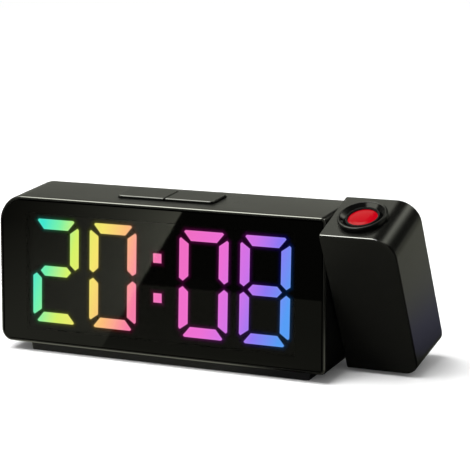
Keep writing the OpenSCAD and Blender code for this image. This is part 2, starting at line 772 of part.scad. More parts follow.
module usb_port() color("#b9bcc2") {
    difference() {
        translate([0, cy1 - 0.2, 0]) rotate([90, 0, 0]) linear_extrude(cy1 - 0.2 - mb_y1)
            rect(usb_x - usb_w / 2, usb_x + usb_w / 2, usb_z - usb_h / 2, usb_z + usb_h / 2, 0.4);
        translate([usb_x - usb_w / 2 + 0.4, mb_y1 + 0.8, usb_z - usb_h / 2 + 0.4])
            cube([usb_w - 0.8, 20, usb_h - 0.8]);
    }
    translate([usb_x - 5.6, mb_y1 + 0.7, usb_z + 0.1]) cube([11.2, 7, 1.8]);
}

// ---- foot ----

module foot_bar() color("#141416") {
    difference() {
        intersection() {
            translate([0, foot_d / 2, 0]) rotate([90, 0, 0]) linear_extrude(foot_d)
                polygon([[-foot_w / 2 + foot_taper, 0], [foot_w / 2 - foot_taper, 0],
                    [foot_w / 2, foot_h], [-foot_w / 2, foot_h]]);
            linear_extrude(foot_h) rect(-foot_w / 2, foot_w / 2, -foot_d / 2, foot_d / 2, 2.5);
        }
        for (s = [-1, 1]) {
            translate([s * (foot_w / 2 - pad_w / 2 - 4), 0, -1]) linear_extrude(pad_t + 1)
                rect(-pad_w / 2 - gap_face, pad_w / 2 + gap_face, -pad_d / 2 - gap_face,
                    pad_d / 2 + gap_face, 2 + gap_face);
            translate([s * 28, 2, -1]) {
                cylinder(r = 1.6, h = foot_h + 2);
                cylinder(r = 3, h = 3);
            }
        }
    }
}

module foot_pads() color("#2a2a2c") {
    for (s = [-1, 1]) translate([s * (foot_w / 2 - pad_w / 2 - 4), 0, 0]) linear_extrude(pad_t)
        rect(-pad_w / 2, pad_w / 2, -pad_d / 2, pad_d / 2, 2);
}

module foot_screws() color("#b9bcc2") {
    for (x = [-28, 28]) translate([x, 2, 0.5]) mirror([0, 0, 1]) screw(1.4, foot_h + 4.5, 2.8, 1.5);
}

// ---- pivot ----

module ring_x(xa, xb, ro, ri) {
    difference() { along_x(xa, xb, ro); along_x(xa - 1, xb + 1, ri); }
}

module pivot_bush() color("#d9d6cc") at_pivot() difference() {
    union() {
        along_x(hub_x, x1 + eps, bush_r);
        along_x(x1, x1 + pod_gap - 0.2, bush_flange_r);
    }
    along_x(hub_x - 1, x1 + 2, trunnion_r + run_clear);
}

module friction_washer() color("#b9bcc2") in_pod()
    ring_x(hub_x - 0.1 - washer_t, hub_x - 0.1, trunnion_r + 2.2, trunnion_r + 0.1);

module retaining_clip() color("#b9bcc2") in_pod() difference() {
    ring_x(clip_x1 - clip_t, clip_x1, trunnion_r + 1.8, groove_r + gap_face);
    translate([clip_x1 - clip_t - 1, -2.2, 0]) cube([clip_t + 2, 4.4, 20]);
}

trunnion_bolts = [for (a = [30, 150, 270]) [(trunnion_r + 1.8) * cos(a), (trunnion_r + 1.8) * sin(a)]];

module pod_trunnion() color("#2f2f33") in_pod() difference() {
    union() {
        along_x(trunnion_x0, px0 + side_t + flange_h, trunnion_r);
        along_x(px0 + side_t, px0 + side_t + flange_h, flange_r);
    }
    along_x(trunnion_x0 - 1, px0 + 10, trunnion_bore);
    ring_x(clip_x1 - clip_t - gap_face, clip_x1 + gap_face, trunnion_r + 1, groove_r);
    for (p = trunnion_bolts) translate([0, p[0], p[1]]) along_x(px0, px0 + 8, 0.85);
}

module trunnion_screws() color("#b9bcc2") in_pod()
    for (p = trunnion_bolts) translate([px0 + side_t + flange_h + 0.8, p[0], p[1]])
        rotate([0, 90, 0]) screw(0.7, flange_h + 2.4, 1.3, 0.8);

// ---- projector head ----

// outline across the head, open below to the height low
module pod_outline(i, xa, low) {
    outline(xa, px1 - i, low, hw - i, 0.6, max(pod_r_bot - i, 0.4), max(pod_r_top - i, 0.4), 0.6);
}

// square prism of the head's upper part
module pod_prism(i, va, vb, xa = px0) {
    translate([0, vb, 0]) rotate([90, 0, 0]) linear_extrude(vb - va) pod_outline(i, xa, -hw + i);
}

// height of the sloping underside at a distance behind the head's middle, inset by i
function pod_low(v, i = 0) = -hw - (v + hd) * tan(pod_cut) + i / cos(pod_cut);

module pod_slice(i, v, xa) {
    translate([0, v < 0 ? v + eps : v, 0]) rotate([90, 0, 0]) linear_extrude(eps)
        pod_outline(i, xa, pod_low(v, i));
}

pod_boss = [for (v = [-1, 1], w = [-hw + 6.4, hw - 11]) [v * (hd - pod_wall - 2.2), w]];

boss_h = 3;
ear_t = 2;
side_in = pod_wall + 0.15;
side_v = hd - side_in;
tube_boss = [for (x = [-1, 1], v = [-1, 1])
    [lx + x * (lens_x - side_t - 2.1), v * (hd - pod_wall - 1.8)]];

module pod_shell() color("#17171a") in_pod() difference() {
    union() {
        difference() {
            hull() for (t = [-1, 1]) {
                pod_slice(0, t * (hd - edge_r), px0);
                pod_slice(edge_r * 0.29, t * (hd - edge_r * 0.29), px0 + edge_r * 0.1);
                pod_slice(edge_r, t * hd, px0 + edge_r * 0.4);
            }
            hull() for (t = [-1, 1]) pod_slice(pod_wall, t * (hd - pod_wall), px0 - 2);
        }
        for (p = pod_boss) translate([0, p[0], p[1]]) along_x(px0 + side_t, px0 + side_t + 6, 2.6);
        // bosses that carry the optics tube under the top wall
        for (p = tube_boss) translate([p[0], p[1], w_in - boss_h]) {
            cylinder(r = 1.9, h = boss_h + 0.5);
            translate([-1.9, p[1] < 0 ? -2.2 : 0, 0]) cube([3.8, 2.2, boss_h + 0.5]);
        }
    }
    for (p = tube_boss) translate([p[0], p[1], w_in - boss_h - 1]) cylinder(r = 0.85, h = boss_h + 1.5);
    translate([lx, -lens_fwd, w_in - 1]) cylinder(r = neck_r + 0.1, h = pod_wall + 2);
    for (p = pod_boss) translate([0, p[0], p[1]]) along_x(px0 + side_t - 1, px0 + side_t + 5, 0.95);
}

module pod_side_cover() color("#17171a") in_pod() {
    difference() {
        union() {
            translate([px0, 0, 0]) rotate([90, 0, 90]) linear_extrude(side_t) polygon([
                [-side_v, pod_low(-side_v, side_in)], [side_v, pod_low(side_v, side_in)],
                [side_v, hw - side_in], [-side_v, hw - side_in]]);
            // stop pin
            translate([0, 0, -stop_r]) along_x(x1 - stop_depth + 0.3, px0 + 0.1, stop_pin_r);
        }
        along_x(px0 - 5, px0 + 5, trunnion_r + gap_face);
        for (p = trunnion_bolts) translate([0, p[0], p[1]]) along_x(px0 + 0.4, px0 + 5, 0.75);
        for (p = pod_boss) translate([0, p[0], p[1]]) {
            along_x(px0 - 1, px0 + 5, 1.2);
            along_x(px0 - 1, px0 + 1, 2.2);
        }
    }
}

module pod_screws() color("#b9bcc2") in_pod()
    for (p = pod_boss) translate([px0 + 0.1, p[0], p[1]]) rotate([0, -90, 0]) screw(0.9, 6, 2.1, 0.9);

module lens_axis() in_pod() translate([lx, -lens_fwd, 0]) children();

// stepped tube under the top wall: bearing of the focus ring, then lens and slide bore
module optics_tube() color("#26262a") difference() {
    union() {
        intersection() {
            lens_axis() rotate_extrude() polygon([[0, w_tube], [barrel_r + 1.7, w_tube],
                [barrel_r + 1.7, w_in - 7], [neck_r + 2.1, w_in - boss_h - 0.6], [neck_r + 2.1, w_in],
                [0, w_in]]);
            in_pod() pod_prism(pod_wall + gap_face, -hd, hd);
        }
        in_pod() intersection() {
            for (p = tube_boss) translate([p[0], p[1], w_in - boss_h - ear_t]) {
                cylinder(r = 1.9, h = ear_t);
                rotate([0, 0, atan2(-lens_fwd - p[1], lx - p[0])]) translate([0, -1.5, 0]) cube([7, 3, ear_t]);
            }
            translate([px0 + side_t + 0.15, -hd + pod_wall + 0.15, 0])
                cube([pod_w - side_t - pod_wall - 0.3, pod_d - 2 * pod_wall - 0.3, hw]);
        }
    }
    lens_axis() {
        translate([0, 0, w_tube - 1]) cylinder(r = 4.6, h = lcd_w - w_tube + 2);
        translate([0, 0, lcd_w]) cylinder(r = barrel_r + 0.1, h = w_in - lcd_w);
        translate([0, 0, w_neck - 0.4]) cylinder(r = neck_r + 0.08, h = 10);
        translate([0, 0, ret_w0 - 0.05]) cylinder(r = neck_r + 1.2, h = ret_t + 1);
    }
    in_pod() for (p = tube_boss) translate([p[0], p[1], w_in - boss_h - ear_t - 1])
        cylinder(r = 1, h = ear_t + 2);
}

module optics_screws() color("#b9bcc2") in_pod()
    for (p = tube_boss) translate([p[0], p[1], w_in - boss_h - ear_t - 0.9])
        mirror([0, 0, 1]) screw(0.8, boss_h + ear_t + 1.2, 1.5, 0.9);

module lamp_board() color("#1f5a35") in_pod() difference() {
    translate([0, 0, w_tube - lamp_t]) linear_extrude(lamp_t)
        rect(lx - 9.2, lx + 12, -hd + pod_wall + 0.3, hd - pod_wall - 0.3, 1);
    translate([lx + 9, 6, w_tube - 5]) cylinder(r = 1, h = 8);
}

module projector_led() color("#ffd9d9") lens_axis() {
    translate([-1.8, -1.8, w_tube]) cube([3.6, 3.6, 0.9]);
    translate([0, 0, w_tube + 0.9 - eps]) cylinder(r = 1.4, h = 0.7);
}

module time_slide() color("#40464a") lens_axis()
    translate([-4.6, -3.9, lcd_w]) cube([9.2, 7.8, 1.1]);

// funnel-mouthed ring, its neck running in the optics tube
module focus_ring() color("#0d0d10") lens_axis() rotate_extrude() polygon(concat([
    [lens_bore + 0.05, w_neck], [neck_r, w_neck], [neck_r, ret_w0 - 0.05],
    [neck_r - 0.85, ret_w0 - 0.05], [neck_r - 0.85, ret_w0 + ret_t + 0.05],
    [neck_r, ret_w0 + ret_t + 0.05], [neck_r, w_top + gap_face], [ring_r, w_top + gap_face],
    [ring_r, w_rim - 0.75]],
    [for (a = [0:15:90]) [ring_r - 0.7 + 0.7 * cos(a), w_rim - 0.7 + 0.7 * sin(a)]],
    [for (a = [15:15:60]) [ring_r - 0.75 - 0.55 * sin(a), w_rim - 0.55 + 0.55 * cos(a)]],
    [[lens_bore + 0.45, w_rim - 1.55], [lens_bore + 0.05, w_rim - 1.9]]));

module focus_retainer() color("#d9d6cc") lens_axis() difference() {
    translate([0, 0, ret_w0]) cylinder(r = neck_r + 1, h = ret_t);
    translate([0, 0, w_in - 5]) cylinder(r = neck_r - 0.8, h = 10);
}

module lens_barrel() color("#0d0d10") lens_axis() rotate_extrude() polygon([
    [glass_r - 0.8, barrel_top - barrel_l], [barrel_r, barrel_top - barrel_l],
    [barrel_r, barrel_top - 0.3], [barrel_r - 0.3, barrel_top], [glass_r + 0.4, barrel_top],
    [glass_r + 0.05, barrel_top - 0.5], [glass_r + 0.05, seat_w], [glass_r - 0.8, seat_w]]);

module projection_lens() color("#ff2a2a") lens_axis() rotate_extrude() polygon(concat(
    [[0, seat_w], [glass_r, seat_w], [glass_r, seat_w + 2.4]],
    [for (a = [75:-15:0]) [glass_r * sin(a), seat_w + 2.4 + 1.2 * cos(a)]]));

case_shell();
mirror_panel();
display_mask();
digit_hours_tens();
digit_hours_units();
digit_minutes_tens();
digit_minutes_units();
colon_dots();
unlit_segments();
segment_leds();
display_board();
display_screws();
main_board();
board_screws();
key_board();
key_switches();
key_board_screws();
snooze_key();
brightness_key();
set_switches();
time_button();
alarm_button();
up_button();
down_button();
rear_cover();
rear_screws();
speaker_frame();
speaker_cone();
battery_door();
door_screw();
coin_cell();
cell_contact();
power_inlet();
usb_port();
foot_bar();
foot_pads();
foot_screws();
pivot_bush();
friction_washer();
retaining_clip();
pod_trunnion();
trunnion_screws();
pod_side_cover();
pod_screws();
pod_shell();
optics_tube();
optics_screws();
lamp_board();
projector_led();
time_slide();
focus_ring();
focus_retainer();
lens_barrel();
projection_lens();
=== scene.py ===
import json
import math

import bmesh
import bpy
import numpy as np
from bpy.props import FloatProperty, FloatVectorProperty, IntProperty, PointerProperty
from mathutils import Matrix, Vector


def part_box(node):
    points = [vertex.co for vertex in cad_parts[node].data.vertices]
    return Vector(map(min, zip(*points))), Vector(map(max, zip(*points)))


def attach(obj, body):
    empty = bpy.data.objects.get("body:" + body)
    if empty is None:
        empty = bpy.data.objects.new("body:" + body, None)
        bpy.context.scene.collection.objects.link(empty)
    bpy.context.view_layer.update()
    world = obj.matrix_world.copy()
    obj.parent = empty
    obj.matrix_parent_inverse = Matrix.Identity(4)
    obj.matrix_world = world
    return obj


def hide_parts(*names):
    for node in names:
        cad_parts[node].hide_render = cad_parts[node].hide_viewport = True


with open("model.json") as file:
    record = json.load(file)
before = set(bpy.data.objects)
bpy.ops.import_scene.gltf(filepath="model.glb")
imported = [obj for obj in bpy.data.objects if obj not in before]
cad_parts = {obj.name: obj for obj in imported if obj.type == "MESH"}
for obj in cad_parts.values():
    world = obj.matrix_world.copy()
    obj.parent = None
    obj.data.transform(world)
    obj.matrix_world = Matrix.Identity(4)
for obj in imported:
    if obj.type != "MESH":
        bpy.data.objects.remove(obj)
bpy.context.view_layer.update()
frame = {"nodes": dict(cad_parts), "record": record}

bl_info = {
    "name": "Projection alarm clock",
    "version": (1, 0, 0),
    "blender": (4, 5, 0),
    "location": "View3D > Sidebar > Clock",
    "description": "Finishes, fixings and studio for a projection alarm clock",
    "category": "Object",
}

NODES = frame["nodes"]
BODY_OF = {n: b for b, ns in frame["record"]["behaviour"]["bodies"].items() for n in ns}
MM = 0.001

# in metres: closer points are one point, closer heights are level, and the panel's gap to its mask
WELD, LEVEL, HAIR = 2e-6, 1e-5, 4e-5

# the leaning face: its foot, its upward direction and its outward normal
LEAN = math.radians(8)
FACE_FOOT = Vector((0, -18.3, 4.2)) * MM
FACE_UP = Vector((0, math.sin(LEAN), math.cos(LEAN)))
FACE_OUT = Vector((0, -math.cos(LEAN), math.sin(LEAN)))

# the display on it, in millimetres along the case and up the face: the middle of the digits and their
# slant, the colon, a pair of digits from the colon, a digit from its pair's middle, half the colon's
# dots, their distance from and lift above the middle, half the window, and the panel's bare edge
DIGIT_MIDDLE, DIGIT_SLANT = 32.21, math.radians(1.1)
COLON_AT, PAIR_AT, DIGIT_AT = -2.5, 36.35, 14.35
DOT_HALF, DOT_APART, DOT_LIFT = 2.2, 8.45, 1.2
WINDOW_HALF_WIDTH, WINDOW_HALF_HEIGHT, BARE_EDGE = 64.9, 25.3, 0.45

# the projector head: its pivot, its own upward and backward directions, its depth in millimetres,
# and the lens: its place along the case, how far before the pivot its axis runs, and its radius
HEAD_TILT = math.radians(17.6)
HEAD_UP = Vector((0, -math.sin(HEAD_TILT), math.cos(HEAD_TILT)))
HEAD_BACK = Vector((0, math.cos(HEAD_TILT), math.sin(HEAD_TILT)))
PIVOT = Vector((0, 4.6, 37)) * MM
HEAD_DEPTH = 29.2
LENS_AT, LENS_BEFORE, LENS_RADIUS = 91.4, 1.2, 6.1
LENS_AXIS = PIVOT + Vector((LENS_AT, 0, 0)) * MM - HEAD_BACK * LENS_BEFORE * MM

# the camera: its direction from the clock and its roll in degrees, the point it looks at and its
# distance from there in metres, its focal length and sensor width in millimetres
CAMERA_ROUND, CAMERA_ABOVE, CAMERA_ROLL = 28.832, 15.544, -3.876
CAMERA_AIM, CAMERA_AWAY = Vector((0.029545, 0.0002, 0.054915)), 0.822912
CAMERA_LENS, CAMERA_SENSOR = 151.905, 36.0

# the canopy's radius and half the floor and the painted table reflection, in metres
CANOPY, FLOOR_HALF, TABLE_HALF = 5.0, 6.0, 4.5


def tone(code):
    """Linear RGBA of a colour written as six hexadecimal digits."""
    out = []
    for k in (0, 2, 4):
        c = int(code[k:k + 2], 16) / 255
        out.append(c / 12.92 if c <= 0.04045 else ((c + 0.055) / 1.055) ** 2.4)
    return (*out, 1.0)


def grey(level):
    return (level, level, level, 1.0)


def shaded(colour, share):
    """A colour made darker or paler."""
    return tuple(min(1, c * share) for c in colour[:3]) + (1,)


# ---- settings --------------------------------------------------------------

class ClockMoulding(bpy.types.PropertyGroup):
    """Black mouldings"""
    colour: FloatVectorProperty(name="Body colour", description="Colour of the moulded case and head",
                                size=4, subtype="COLOR", min=0, max=1, default=tone("080807"))
    gloss: FloatProperty(name="Surface roughness", description="Roughness of the satin mouldings",
                         default=0.28, min=0.05, max=0.9, subtype="FACTOR")
    grain: FloatProperty(name="Grain size", description="Size of the spark-eroded grain",
                         default=0.00035, min=0.0001, max=0.002, unit="LENGTH")
    edge: FloatProperty(name="Edge rounding", description="Rounding of the outline of the top keys",
                        default=0.00034, min=0.00005, max=0.0006, unit="LENGTH")


class ClockDisplay(bpy.types.PropertyGroup):
    """Display digits"""
    width: FloatProperty(name="Digit width", description="Width of a digit over its strokes",
                         default=0.0236, min=0.018, max=0.028, unit="LENGTH")
    height: FloatProperty(name="Digit height", description="Height of a digit over its strokes",
                          default=0.0456, min=0.03, max=0.048, unit="LENGTH")
    stroke: FloatProperty(name="Stroke width", description="Width of a lit stroke",
                          default=0.0048, min=0.003, max=0.006, unit="LENGTH")
    gap: FloatProperty(name="Stroke gap", description="Gap between neighbouring strokes",
                       default=0.0013, min=0.0008, max=0.002, unit="LENGTH")
    # reach and glow set the glow painted on the mask round the lit strokes, standing in for their spilt light
    reach: FloatProperty(name="Glow reach", description="How far light spreads round a stroke",
                         default=0.0023, min=0.0005, max=0.006, unit="LENGTH")
    light: FloatProperty(name="Stroke light", description="Strength of the lit strokes",
                         default=1.0, min=0, max=5)
    glow: FloatProperty(name="Glow light", description="Strength of the light round a stroke",
                        default=0.065, min=0, max=4)
    smoke: FloatProperty(name="Panel tint", description="Share of light that the smoked panel lets through",
                         default=0.22, min=0.02, max=1, subtype="FACTOR")


class ClockFixings(bpy.types.PropertyGroup):
    """Screws"""
    recess: FloatProperty(name="Recess width", description="Width of the recess, as a share of the head",
                          default=0.2, min=0.1, max=0.4, subtype="FACTOR")
    pitch: FloatProperty(name="Thread pitch", description="Pitch of the screw threads",
                         default=0.0007, min=0.0003, max=0.002, unit="LENGTH")
    seed: IntProperty(name="Turn seed", description="Chooses how far each screw is turned",
                      default=7, min=0, max=999)


class ClockOptics(bpy.types.PropertyGroup):
    """Projector optics"""
    lamp: FloatVectorProperty(name="Lamp colour", description="Colour of the lit projection lens",
                              size=4, subtype="COLOR", min=0, max=1, default=tone("d2081a"))


class ClockStudio(bpy.types.PropertyGroup):
    """Studio"""
    key: FloatProperty(name="Key lamp", description="Power of the overhead lamp in watts",
                       default=23.0, min=0, max=500)
    fill: FloatProperty(name="Fill", description="Strength of the white surround as a lamp",
                        default=0.8, min=0, max=2)
    # front to card are levels of painted reflections, on sheets seen only in polished surfaces that light
    # nothing
    front: FloatProperty(name="Front", description="Level of the canopy in front of the clock",
                         default=0.25, min=0, max=10)
    low_back: FloatProperty(name="Low backdrop", description="Level of the backdrop low behind the clock",
                            default=0.72, min=0, max=10)
    high_back: FloatProperty(name="High backdrop", description="Level of the canopy high behind the clock",
                             default=2.1, min=0, max=20)
    strip: FloatProperty(name="Strip", description="Level of the narrow strip light at the right",
                         default=5.4, min=0, max=50)
    over: FloatProperty(name="Overhead box", description="Level of the overhead soft box in polished edges",
                        default=12.0, min=0, max=50)
    card: FloatProperty(name="Front card", description="Level of the pale sheet at the front left",
                        default=5.6, min=0, max=20)
    floor: FloatProperty(name="Floor tone", description="Reflectance of the floor",
                         default=0.88, min=0, max=1, subtype="FACTOR")


# ---- node helpers ----------------------------------------------------------

class Signal:
    """A value in a node tree; arithmetic on it adds the Math nodes."""

    def __init__(self, finish, socket):
        self.finish, self.socket = finish, socket

    def math(self, operation, *values):
        return self.finish.add("ShaderNodeMath", {"operation": operation}, dict(enumerate(values)))

    def __add__(self, other): return self.math("ADD", self, other)
    def __radd__(self, other): return self.math("ADD", other, self)
    def __sub__(self, other): return self.math("SUBTRACT", self, other)
    def __rsub__(self, other): return self.math("SUBTRACT", other, self)
    def __mul__(self, other): return self.math("MULTIPLY", self, other)
    def __rmul__(self, other): return self.math("MULTIPLY", other, self)
    def __truediv__(self, other): return self.math("DIVIDE", self, other)
    def __rtruediv__(self, other): return self.math("DIVIDE", other, self)
    def __pow__(self, other): return self.math("POWER", self, other)
    def __rpow__(self, other): return self.math("POWER", other, self)
    def __lt__(self, other): return self.math("LESS_THAN", self, other)
    def __gt__(self, other): return self.math("GREATER_THAN", self, other)
    def __abs__(self): return self.math("ABSOLUTE", self)
    def least(self, other): return self.math("MINIMUM", self, other)
    def most(self, other): return self.math("MAXIMUM", self, other)

    def clamp(self):
        return self.finish.add("ShaderNodeClamp", {}, {0: self})


class Finish:
    """One material and the nodes it is made of."""

    def __init__(self, name):
        self.material = bpy.data.materials.new(name)
        self.material.use_nodes = True
        self.tree = self.material.node_tree
        self.tree.nodes.clear()
        self.place = self.add("ShaderNodeTexCoord", output="Object")

    def add(self, kind, settings=None, values=None, output=0):
        """A node with its settings and its sockets' values or links, of which a list goes to one socket."""
        node = self.tree.nodes.new(kind)
        for name, value in (settings or {}).items():
            if name == "stops":
                ramp = node.color_ramp
                while len(ramp.elements) < len(value):
                    ramp.elements.new(0.5)
                for stop, (at, colour) in zip(ramp.elements, value):
                    stop.position, stop.color = at, colour
            else:
                setattr(node, name, value)
        for key, value in (values or {}).items():
            for item in value if isinstance(value, list) else [value]:
                if isinstance(item, Signal):
                    self.tree.links.new(item.socket, node.inputs[key])
                else:
                    node.inputs[key].default_value = item
        return Signal(self, node.outputs[output])

    def axes(self, scale=1000.0):
        """Object coordinates as three values, in millimetres unless scaled otherwise."""
        node = self.add("ShaderNodeSeparateXYZ", {}, {0: self.place}).socket.node
        return [Signal(self, o) * scale for o in node.outputs]

    def vector(self, operation, *values, output=0):
        """The result of a Vector Math node."""
        return self.add("ShaderNodeVectorMath", {"operation": operation}, dict(enumerate(values)), output)

    def noise(self, size, detail=2.0, rough=0.5, stretch=None):
        """Noise whose features are about size metres across."""
        place = self.place
        if stretch:
            place = self.vector("MULTIPLY", place, stretch)
        return self.add("ShaderNodeTexNoise", {}, {"Vector": place, "Scale": 1 / size,
                                                  "Detail": detail, "Roughness": rough})

    def between(self, factor, low, high):
        return low + factor * (high - low)

    def blend(self, factor, a, b):
        return self.add("ShaderNodeMix", {"data_type": "RGBA"}, {0: factor, 6: a, 7: b}, 2)

    def bump(self, height, distance, strength):
        return self.add("ShaderNodeBump", {}, {"Height": height, "Distance": distance, "Strength": strength})

    def surface(self, colour, rough, normal=None, **constants):
        values = {"Base Color": colour, "Roughness": rough}
        if normal:
            values["Normal"] = normal
        values.update({k.replace("_", " "): v for k, v in constants.items()})
        return self.add("ShaderNodeBsdfPrincipled", {}, values)

    def done(self, shader):
        end = self.tree.nodes.new("ShaderNodeOutputMaterial")
        self.tree.links.new(shader.socket, end.inputs["Surface"])
        return self.material


class Surround(Finish):
    """The world and its nodes."""

    def __init__(self, name):
        self.world = bpy.data.worlds.new(name)
        self.world.use_nodes = True
        self.tree = self.world.node_tree
        self.tree.nodes.clear()

    def done(self, shader):
        end = self.tree.nodes.new("ShaderNodeOutputWorld")
        self.tree.links.new(shader.socket, end.inputs["Surface"])
        return self.world


def rise(value, start, end):
    """Zero up to start and one from end on, straight between them."""
    return ((value - start) / (end - start)).clamp()


def band(value, start, full, fade, end):
    """One from full to fade, falling to zero at start and at end."""
    return rise(value, start, full) * (1 - rise(value, fade, end))


def seen(f):
    """One for what the camera sees, straight, mirrored or through the panel, and zero for scattered light."""
    path = f.add("ShaderNodeLightPath").socket.node
    camera, mirrored, through = (Signal(f, path.outputs["Is %s Ray" % kind])
                                 for kind in ("Camera", "Glossy", "Transmission"))
    return (camera + mirrored + through).clamp()


def along_face(y, z, way):
    """How far a place in millimetres lies from the foot of the leaning face, in one of its directions."""
    return (y - FACE_FOOT.y / MM) * way.y + (z - FACE_FOOT.z / MM) * way.z


# ---- finishes --------------------------------------------------------------

def moulded(name, colour, rough, grain, level=0.15, depth=0.000012, mottle=0.25, polished=None, dull=None):
    """Spark-eroded plastic: fine grain and slight flow mottling, with a polished zone and a darker matt zone
    of painted shade if given.
    """
    f = Finish(name)
    fine = f.noise(grain, 3.0, 0.6)
    broad = f.noise(0.018, 2.0, 0.5)
    darker, paler = shaded(colour, 1 - mottle), shaded(colour, 1 + mottle)
    shade = f.blend(f.between(fine, 0.2, 0.8) * 0.6 + broad * 0.4, darker, paler)
    gloss = f.between(fine, rough - 0.03, rough + 0.05) + (broad - 0.5) * 0.05
    extra = {}
    if polished:
        zone = polished(f)
        gloss = gloss * (1 - zone * 0.7)
        extra = {"Coat_Weight": zone, "Coat_Roughness": 0.06, "Coat_IOR": 1.8}
    whole = f.surface(shade, gloss, f.bump(fine, depth, 0.5), Specular_IOR_Level=level, IOR=1.45, **extra)
    # the dull zone is painted shade: a darker matt surface mixed in where a dark line should show
    if dull:
        matt = f.surface(darker, 0.6, Specular_IOR_Level=0.01)
        whole = f.add("ShaderNodeMixShader", {}, {0: dull(f), 1: whole, 2: matt})
    return f.done(whole)


def case_edge(f):
    """One on the rounded edge round the case's front, in its first half millimetre of depth."""
    x, y, z = f.axes()
    depth = 0 - along_face(y, z, FACE_OUT)
    upright = rise(x, 76, 76.3) * rise(z, 67, 66.5)
    return band(depth, 0.06, 0.11, 0.38, 0.46) * (1 - upright * 0.5)


def head_place(f):
    """Depth behind the head's front and height above its pivot, in millimetres."""
    x, y, z = f.axes()
    back, up = y - PIVOT.y / MM, z - PIVOT.z / MM
    return back * HEAD_BACK.y + up * HEAD_BACK.z + HEAD_DEPTH / 2, back * HEAD_UP.y + up * HEAD_UP.z


def head_painted_dark_line(f):
    """Nearly one on a narrow painted dark line of shade round the head's front edge, below its polished part.
    """
    depth, height = head_place(f)
    return band(depth, 0.3, 0.45, 1.35, 1.5) * rise(height, 31, 28) * 0.9


def head_edge(f):
    """One on the rounded upper edge of the head's front, fading out down its sides."""
    depth, height = head_place(f)
    return band(depth, 0.36, 0.42, 0.48, 0.56) * rise(height, 24, 31)


def metal(name, colour, rough, scratch=0.0004, turned=False):
    """Plated or turned metal with fine brushing and dull patches."""
    f = Finish(name)
    fine = f.noise(scratch, 3.0, 0.6, (1, 1, 6) if turned else (1, 6, 1))
    dull = f.noise(0.004, 2.0, 0.6)
    shade = f.blend(dull, shaded(colour, 0.78), colour)
    return f.done(f.surface(shade, f.between(fine, rough - 0.06, rough + 0.12), f.bump(fine, 0.000006, 0.5),
                            Metallic=1.0))


def laminate(name):
    """Green solder mask over copper tracks, with bare pads."""
    f = Finish(name)
    tracks = f.add("ShaderNodeTexVoronoi", {"feature": "DISTANCE_TO_EDGE"},
                   {"Vector": f.place, "Scale": 260.0, "Randomness": 0.9})
    track = (tracks < 0.09) * 1.0
    pads = f.add("ShaderNodeTexVoronoi", {"feature": "F1"},
                 {"Vector": f.place, "Scale": 330.0, "Randomness": 0.35})
    pad = (pads < 0.16) * 1.0
    weave = f.noise(0.0006, 2.0)
    green = f.blend(weave, tone("123f25"), tone("1b5432"))
    green = f.blend(track * 0.7, green, tone("2c7a48"))
    colour = f.blend(pad, green, tone("c8c6bb"))
    height = track * 0.5 + pad * 0.8 + weave * 0.15
    return f.done(f.surface(colour, f.between(pad, 0.34, 0.22), f.bump(height, 0.00004, 0.5),
                            Metallic=pad * 0.8))


# hues of the lit strokes, by place along the case in millimetres, and how the hues lean and stand off
STROKE_TONES = [(-66, "3ce8d0"), (-58, "78f4a8"), (-48, "d6f466"), (-36, "f7e66a"), (-24, "fdba7a"),
                (-12, "fb7fa8"), (2, "f46fc4"), (24, "ef70d8"), (37, "d074ec"), (48, "8e7af8"),
                (60, "559ef8")]
TONE_LEAN, TONE_SHIFT = 0.3, 0.75
FAR_OFF = 50


class Strokes:
    """Distance to the lit strokes of the display and the colour there, in a material's own nodes."""

    def __init__(self, f, s):
        wide, tall, thick, gap = s.width * 500, s.height * 500, s.stroke * 1000, s.gap * 1000
        inner, under, nick, half = wide - thick, tall - thick, thick * 0.25, thick / 2
        x, y, z = f.axes()
        high = along_face(y, z, FACE_UP) - DIGIT_MIDDLE
        across = x - COLON_AT - high * math.tan(DIGIT_SLANT)
        out = abs(across)
        place = abs(abs(out - PAIR_AT) - DIGIT_AT), abs(high)
        top = self.shape(*place, [(inner - gap * 0.6, under), (wide - nick * 1.8, tall - nick * 0.7),
                                  (wide - nick * 2.5, tall), (-wide, tall), (-wide, under)])
        side = self.shape(*place, [(inner, half + gap * 0.65), (wide - thick * 0.42, gap * 0.7),
                                   (wide, nick * 0.8 + gap), (wide, tall - nick * 3.3),
                                   (wide - nick * 0.7, tall - nick * 2.6), (inner, under - gap * 0.75)])
        bar = self.shape(*place, [(wide - thick * 0.78, 0), (inner - gap, half), (-wide, half),
                                  (-wide, -half), (inner - gap, -half)])
        hours_tens = across < -PAIR_AT
        dark_side = hours_tens * (((across + (PAIR_AT + DIGIT_AT)) * high) < 0)
        dark_bar = out < PAIR_AT
        near = top.least(side + dark_side * FAR_OFF).least(bar + dark_bar * FAR_OFF)
        dot = (abs(x - COLON_AT) - DOT_HALF).most(abs(abs(high - DOT_LIFT) - DOT_APART) - DOT_HALF)
        self.distance = near.least(dot)
        first, last = STROKE_TONES[0][0], STROKE_TONES[-1][0]
        stops = [((at - first) / (last - first), tone(code)) for at, code in STROKE_TONES]
        along = (x - TONE_SHIFT - high * TONE_LEAN - first) / (last - first)
        self.colour = f.add("ShaderNodeValToRGB", {"stops": stops}, {0: along})

    @staticmethod
    def shape(beside, above, points):
        """Signed distance to a convex outline given anticlockwise."""
        far = None
        for (ax, ay), (bx, by) in zip(points, points[1:] + points[:1]):
            length = math.hypot(bx - ax, by - ay)
            nx, ny = (by - ay) / length, (ax - bx) / length
            edge = beside * nx + (above * ny - (nx * ax + ny * ay))
            far = edge if far is None else far.most(edge)
        return far


